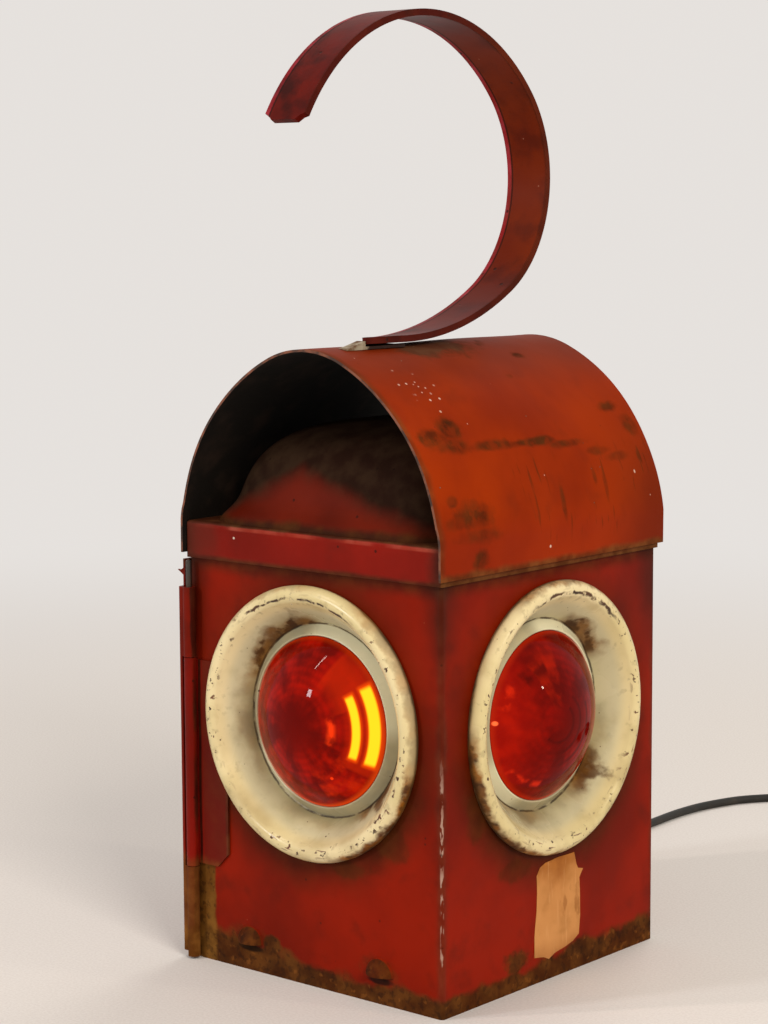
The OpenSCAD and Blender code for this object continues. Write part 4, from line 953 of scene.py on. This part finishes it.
# ---- Lenses
# Pressed red glass bullseyes, 68 mm across, with a flat rim behind the collar and rings
# stepped into the back. Their glow is painted light: the lit bulb is painted into the
# front one's rings as two bright bars.
lens_r, bulge, cap_z, rim_z, rim_t = 34.0, 15.5, -5.4, -9.6, 2.6
cap_r = (lens_r**2 + bulge**2) / (2 * bulge)
reach = math.degrees(math.asin(lens_r / cap_r))
for side, place in places.items():
    profile = arc((0, cap_z + bulge - cap_r), cap_r, 90, 90 - reach, 40)
    profile += [(lens_r, rim_z), (38.0, rim_z), (38.0, rim_z - rim_t), (28.0, rim_z - rim_t)]
    for i in range(1, 5):
        low, radius = rim_z - rim_t, 34 - 6 * i
        profile += [(radius, low + 1.2 * (i - 1)), (radius, low + 1.2 * i)][i == 1 :]
    bm = turned(profile + [(0, rim_z - rim_t + 4.8)], 160, closed=False)
    moved(bm, place)
    f = Finish(
        "red_glass_" + side, Roughness=0.03, IOR=1.13, Transmission_Weight=0.05,
        Specular_IOR_Level=0.5, Emission_Strength=1.0,
    )
    u, v, out, r = about_axis(f, side)
    # The rings are pressed into the back, so from the camera the right ones lie off centre
    off_u = u if side == "front" else u + 0.008
    deep = (off_u * off_u + v * v) ** 0.5
    turn = v.math("ARCTAN2", v, off_u)
    cap = out.ramp(-0.0058, -0.005)
    swirl = f.noise(55, 3)
    shimmer = f.noise(140, 4)
    fan = f.node("CombineXYZ", {}, {"X": u / r * 1.2, "Y": v / r * 1.2, "Z": r * 30})
    fan = f.node("TexNoise", {}, {"Vector": fan, "Scale": 3.0, "Detail": 5.0})
    fan = (fan * 0.35 + shimmer * 0.35 + swirl * 0.3).ramp(0.4, 0.62)
    fan = fan * r.ramp(0.002, 0.016)
    ripple = (deep * 2100).cosine() * 0.5 + 0.5

    def ring(inner, outer, centre, half, soft=0.0006):
        """1 on a part of a ring round the axis, angles in degrees either side of centre."""
        edges = (math.cos(math.radians(half + 2)), math.cos(math.radians(half - 2)))
        band = deep.ramp(inner - soft, inner + soft) * deep.ramp(outer + soft, outer - soft)
        return band * (turn - math.radians(centre)).cosine().ramp(*edges)

    # The emission on the front cap is painted light: the bulb's glow through the rings, a lit rim,
    # sparks, flashes and bars
    rim = r.ramp(0.0318, 0.0338)
    if side == "front":
        glow = f.mix(fan, "560200", "a40c00")
        glow = f.mix(ripple * r.ramp(0.006, 0.012) * 0.3, glow, "4a0200")
        glow = f.mix(r.ramp(0.018, 0.008) * 0.45, glow, "500200")
        glow = f.mix(u.ramp(-0.01, -0.026) * r.ramp(0.03, 0.026) * 0.35, glow, "4c0200")
        warm = ring(0.02, 0.033, 42, 22, 0.004) * 0.6
        warm = warm.higher(ring(0.0225, 0.0335, 5, 40, 0.0025) * 0.5)
        warm = warm.higher(ring(0.0195, 0.033, -50, 24, 0.004) * shimmer.ramp(0.45, 0.7) * 0.7)
        glow = f.mix(warm, glow, "c42400")
        spark = ring(0.015, 0.0178, 0, 20, 0.0012) * shimmer.ramp(0.4, 0.62)
        spark = spark.higher(f.specks(230, 0.22, 0.35) * ring(0.023, 0.031, -48, 12))
        glow = f.mix(spark, glow, "ff3a08")
        glow = f.mix(rim * (0.35 + 0.65 * v.ramp(0.02, -0.02)), glow, "c83a08")
        bars = ring(0.024, 0.0266, 4, 28, 0.0004).higher(ring(0.0293, 0.0325, 4, 29, 0.0004))
        halo = ring(0.0236, 0.0272, 4, 31, 0.0007).higher(ring(0.0288, 0.0331, 4, 32, 0.0007))
        glow = f.mix(halo, glow, "f04800")
        glow = f.mix(bars, glow, (1.7, 0.8, 0.015, 1))
    else:
        glow = f.mix(fan, "4a0200", "7c0500")
        glow = f.mix(ripple * deep.ramp(0.004, 0.01) * 0.35, glow, "400200")
        # Painted light: the right lens glows brighter on its left part
        lit = (u + (swirl - 0.5) * 0.03).ramp(-0.01, -0.032)
        glow = f.mix(lit * 0.75, glow, f.mix(fan, "980800", "b81400"))
        glow = f.mix(ring(0.008, 0.028, 95, 16, 0.005) * fan * 0.35, glow, "c42400")
        arcs = ring(0.007, 0.0084, -45, 90, 0.0008).higher(ring(0.012, 0.0134, -30, 80, 0.0008))
        arcs = arcs.higher(ring(0.0175, 0.019, -45, 65, 0.001))
        arcs = arcs.higher(ring(0.0235, 0.0252, -60, 45, 0.0012))
        arcs = arcs.higher(ring(0.019, 0.025, 110, 16, 0.002) * shimmer.ramp(0.4, 0.6))
        glow = f.mix(arcs * swirl.ramp(0.35, 0.55) * 0.85, glow, "260100")
        glow = f.mix(u.ramp(0.022, 0.033) * 0.7, glow, "3a040c")
        flash = ring(0.0215, 0.0245, 150, 12, 0.001).higher(ring(0.024, 0.0262, -115, 20, 0.001))
        glow = f.mix(flash * shimmer.ramp(0.42, 0.6) * 0.55, glow, "f02c08")
        glow = f.mix(rim * 0.6, glow, "b02406")
        # A painted glint at the left edge
        spot = ((u + 0.0326) * (u + 0.0326) + (v - 0.0021) * (v - 0.0021)) ** 0.5
        glow = f.mix(spot.ramp(0.0012, 0.0005), glow, (1.5, 0.2, 0.05, 1))
    red_glass = f.look(
        Base_Color=f.mix(swirl.ramp(0.3, 0.7), "3c0401", "4c0501"),
        Emission_Color=f.mix(cap, (0, 0, 0, 1), glow),
        Normal=f.bump(f.noise(60, 2), 0.0002, 0.3),
    )
    lens = piece("bullseye_" + side, bm, red_glass, "lamp", 28)
    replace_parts(lens, "lens_" + side)

# ---- Hinge
# A leaf soldered to the front carries the middle knuckle; the door's own knuckles turn on
# the same steel pin, which is bare at the top where the door's edge has torn away.
f = Paint("hinge_red", "821206", "620e04", gloss=0.08)
x, y, z = f.x, f.y, f.z
f.over(f.noise(70, 3, (1, 1, 0.2)).ramp(0.5, 0.75) * 0.4, "3c1408 4a200c", rough=0.15)
f.over(x.ramp(-0.0605, -0.0585) * 0.75, "581206 5c1e0a", rough=0.15)
gap = abs(x + 0.0608 + f.wobble(0.001)).ramp(0.001, 0.0004)
f.over(gap * 0.85, "180a04 2c1a0c", rough=0.2)
f.over((z + f.wobble(0.008)).ramp(0.044, 0.0405) * 0.5, "6a3c18 865024", rough=0.2)
edge = (x + f.wobble(0.003)).ramp(-0.0475, -0.0462)
f.over(edge * 0.5, "3a1c0c 5a3a20")
f.over(f.specks(260, 0.18, 0.06) * 0.7, "1c0f09", lift=-0.2)
hinge_brown = f.done(0.0005, 0.7)
leaf = piece("hinge_leaf_brazed", copied("hinge_leaf"), hinge_brown, "lamp", 40)
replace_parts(leaf, "hinge_leaf")
pin = turned(
    [(0, 1)] + arc((0.8, 1.4), 0.4, -90, 0, 3) + arc((0.8, 165.6), 0.4, 0, 90, 3) + [(0, 166)],
    40, closed=False,
)
hinge_axis = Matrix.Translation((-0.0639, -0.0729, 0))
moved(pin, hinge_axis)
pin = piece("pin_rod", pin, bare_steel, "lamp")
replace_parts(pin, "hinge_pin")

# ---- Door and catch
# A shallow pan that covers the open left side, turning on the front hinge; a steel turn
# button on its rear edge swings a tongue behind the door frame.
f = Paint("door_red", "85190a", "641306")
x, y, z = f.x, f.y, f.z
f.over(f.patchy.ramp(0.52, 0.78) * 0.5, "4a1006")
near_edge = (y + 0.0745 + f.wobble(0.006)).ramp(0.004, -0.003)
f.over(near_edge * f.patchy.ramp(0.5, 0.72) * 0.45, "3a1408 4e220e", rough=0.15)
gap = (x + 0.0622 + f.wobble(0.001)).ramp(0.0, 0.0006) * y.ramp(-0.0698, -0.0704)
f.over(gap * 0.8, "1e0c06 30180c", rough=0.2)
f.over(f.noise(70, 3, (1, 1, 0.2)).ramp(0.5, 0.75) * y.ramp(-0.0698, -0.0704) * 0.4, "3c1408 4a200c")
low = (z + f.wobble(0.02)).ramp(0.047, 0.04) * y.ramp(-0.0705, -0.0712)
f.over(low * 0.85, "5a3212 7a4c20", rough=0.3)
foot = (z + f.wobble(0.024) + (f.broad - 0.5) * 0.016).ramp(0.016, 0.009)
f.over(foot * 0.8, "5a3410 8a5a26", rough=0.4, lift=0.15)
top = (z + f.wobble(0.006)).ramp(0.159, 0.165)
f.over(top * 0.8, "2c170a 4a2c14", rough=0.25)
worn = f.blot(y, z, (46, 85), (13, 15), 0.8) * x.ramp(-0.0685, -0.069)
f.over(worn * 0.5, "47200f 6b3c22", rough=0.15)
f.over(f.specks(230, 0.2, 0.07) * 0.8, "26100a", lift=-0.25)
f.over(f.specks(330, 0.13, 0.04) * 0.6, "9c6a54")
scratch = f.noise(110, 2, (1, 0.07, 1)).ramp(0.7, 0.73) * f.noise(30, 2).ramp(0.5, 0.62)
f.over(scratch * 0.3, "a5604c")
f.over(x.ramp(-0.0682, -0.0679) * y.ramp(-0.0702, -0.0698) * 0.8, "2a150c 4a2a1e", rough=0.3)
door = piece("side_door", copied("door_panel"), f.done(), "door", 40)
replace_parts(door, "door_panel")
for node, name, body in (
    ("catch_plate", "guide_plate", "door"), ("catch_knob", "turn_button", "catch"),
    ("catch_tongue", "locking_tongue", "catch"),
):
    bm = copied(node)
    bmesh.ops.dissolve_limit(
        bm, angle_limit=math.radians(1), verts=bm.verts, edges=bm.edges, use_dissolve_boundaries=False
    )
    sharp = [edge for edge in bm.edges if edge.calc_face_angle(0) > math.radians(50)]
    bmesh.ops.bevel(
        bm, geom=sharp, offset=0.0003, segments=2, profile=0.5, affect="EDGES", material=-1,
        clamp_overlap=True,
    )
    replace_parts(piece(name, bm, bare_steel, body, 30), node)

# ---- Lampholder and bulb
# A steel bridge on the pan carries a black plastic holder on a hollow brass stem; in it
# stands a compact lamp, two bent tubes glowing on an off-white housing.
f = Finish("fitting_brass", Metallic=1.0)
dull = f.noise(120, 4)
fitting_brass = f.look(
    Base_Color=f.mix(dull, "a8843f", "6e5426"),
    Roughness=0.3 + 0.35 * dull,
    Normal=f.bump(dull, 0.0001),
)
f = Finish("off_white_housing", IOR=1.5)
warm = f.noise(40, 3)
off_white = f.look(
    Base_Color=f.mix(warm, "d9d4c6", "c3b99f"),
    Roughness=0.3 + 0.2 * warm,
    Normal=f.bump(f.noise(900, 2), 0.00005),
)
f = Finish("lit_tube", Roughness=0.3, Emission_Strength=1.6)
lit_tube = f.look(
    Base_Color=colour("fff2d8"),
    Emission_Color=f.mix(f.z.ramp(0.076, 0.08), "ff9a40", "ffcf8a"),
)
for node, name, material, slot in (
    ("lamp_bracket", "bridge", bare_steel, "bare_steel"),
    ("bracket_screws", "bridge_screws", bare_steel, "bare_steel"),
    ("threaded_stem", "stem", fitting_brass, "fitting_brass"),
    ("stem_nuts", "nuts", fitting_brass, "fitting_brass"),
    ("lampholder", "holder", plug_black, "black_plastic"),
    ("inner_cord", "holder_lead", cord_sheath, "cord_sheath"),
    ("bulb_housing", "housing", off_white, "white_plastic"),
    ("bulb_tubes", "tubes", lit_tube, "lit_glass"),
):
    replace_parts(piece(name, copied(node), material, "lamp", 30), node)

# ---- Paper tape
# A torn strip of old buff paper tape stuck under the right bezel; it carries no writing.
bm = bmesh.new()
corners = [
    (-10.9, 44.0), (-8.6, 47.0), (-5.0, 48.3), (3.9, 48.9), (14.2, 48.7), (15.6, 43.6), (16.8, 41.7),
    (20.3, 40.8), (17.7, 37.6), (18.0, 30.0), (18.5, 22.0), (17.4, 14.2), (13.6, 12.0), (8.1, 10.9),
    (1.2, 9.9), (-2.8, 8.3), (-6.0, 9.8), (-12.4, 10.9), (-12.3, 19.3), (-11.0, 30.0), (-10.6, 37.0),
]
bm.faces.new([bm.verts.new((0, y / 1000, z / 1000)) for y, z in corners])
bmesh.ops.subdivide_edges(bm, edges=bm.edges, cuts=5, fractal=0.25, along_normal=0, seed=5)
for vert in bm.verts:
    vert.co.x = 0.0661 + 0.0002 * (0.5 + 0.5 * math.sin(vert.co.y * 600) * math.sin(vert.co.z * 350))
bmesh.ops.triangulate(bm, faces=bm.faces)
face_out(bm, 0)
bmesh.ops.solidify(bm, geom=bm.faces[:], thickness=0.0002)
f = Paint("old_tape", "cf9258", "b97a42", gloss=0.05)
y, z = f.y, f.z
f.over(f.noise(60, 4).ramp(0.45, 0.72) * 0.55, "9a6430")
f.over((z - y * 0.25 + f.wobble(0.03)).ramp(0.036, 0.05) * 0.75, "8a4c1c a8662c")
f.over((z + f.wobble(0.012)).ramp(0.018, 0.009) * 0.5, "8a5428 a86c3c")
f.over(f.noise(160, 4, (1, 1, 0.5)).ramp(0.6, 0.72) * 0.45, "80481e")
f.over(f.noise(500, 2, (1, 1, 0.15)).ramp(0.58, 0.75) * 0.2, "f0bc84")
f.rough = 0.75 + 0.1 * f.patchy
piece("tape_remnant", bm, f.done(0.0003), "lamp")

low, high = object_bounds()
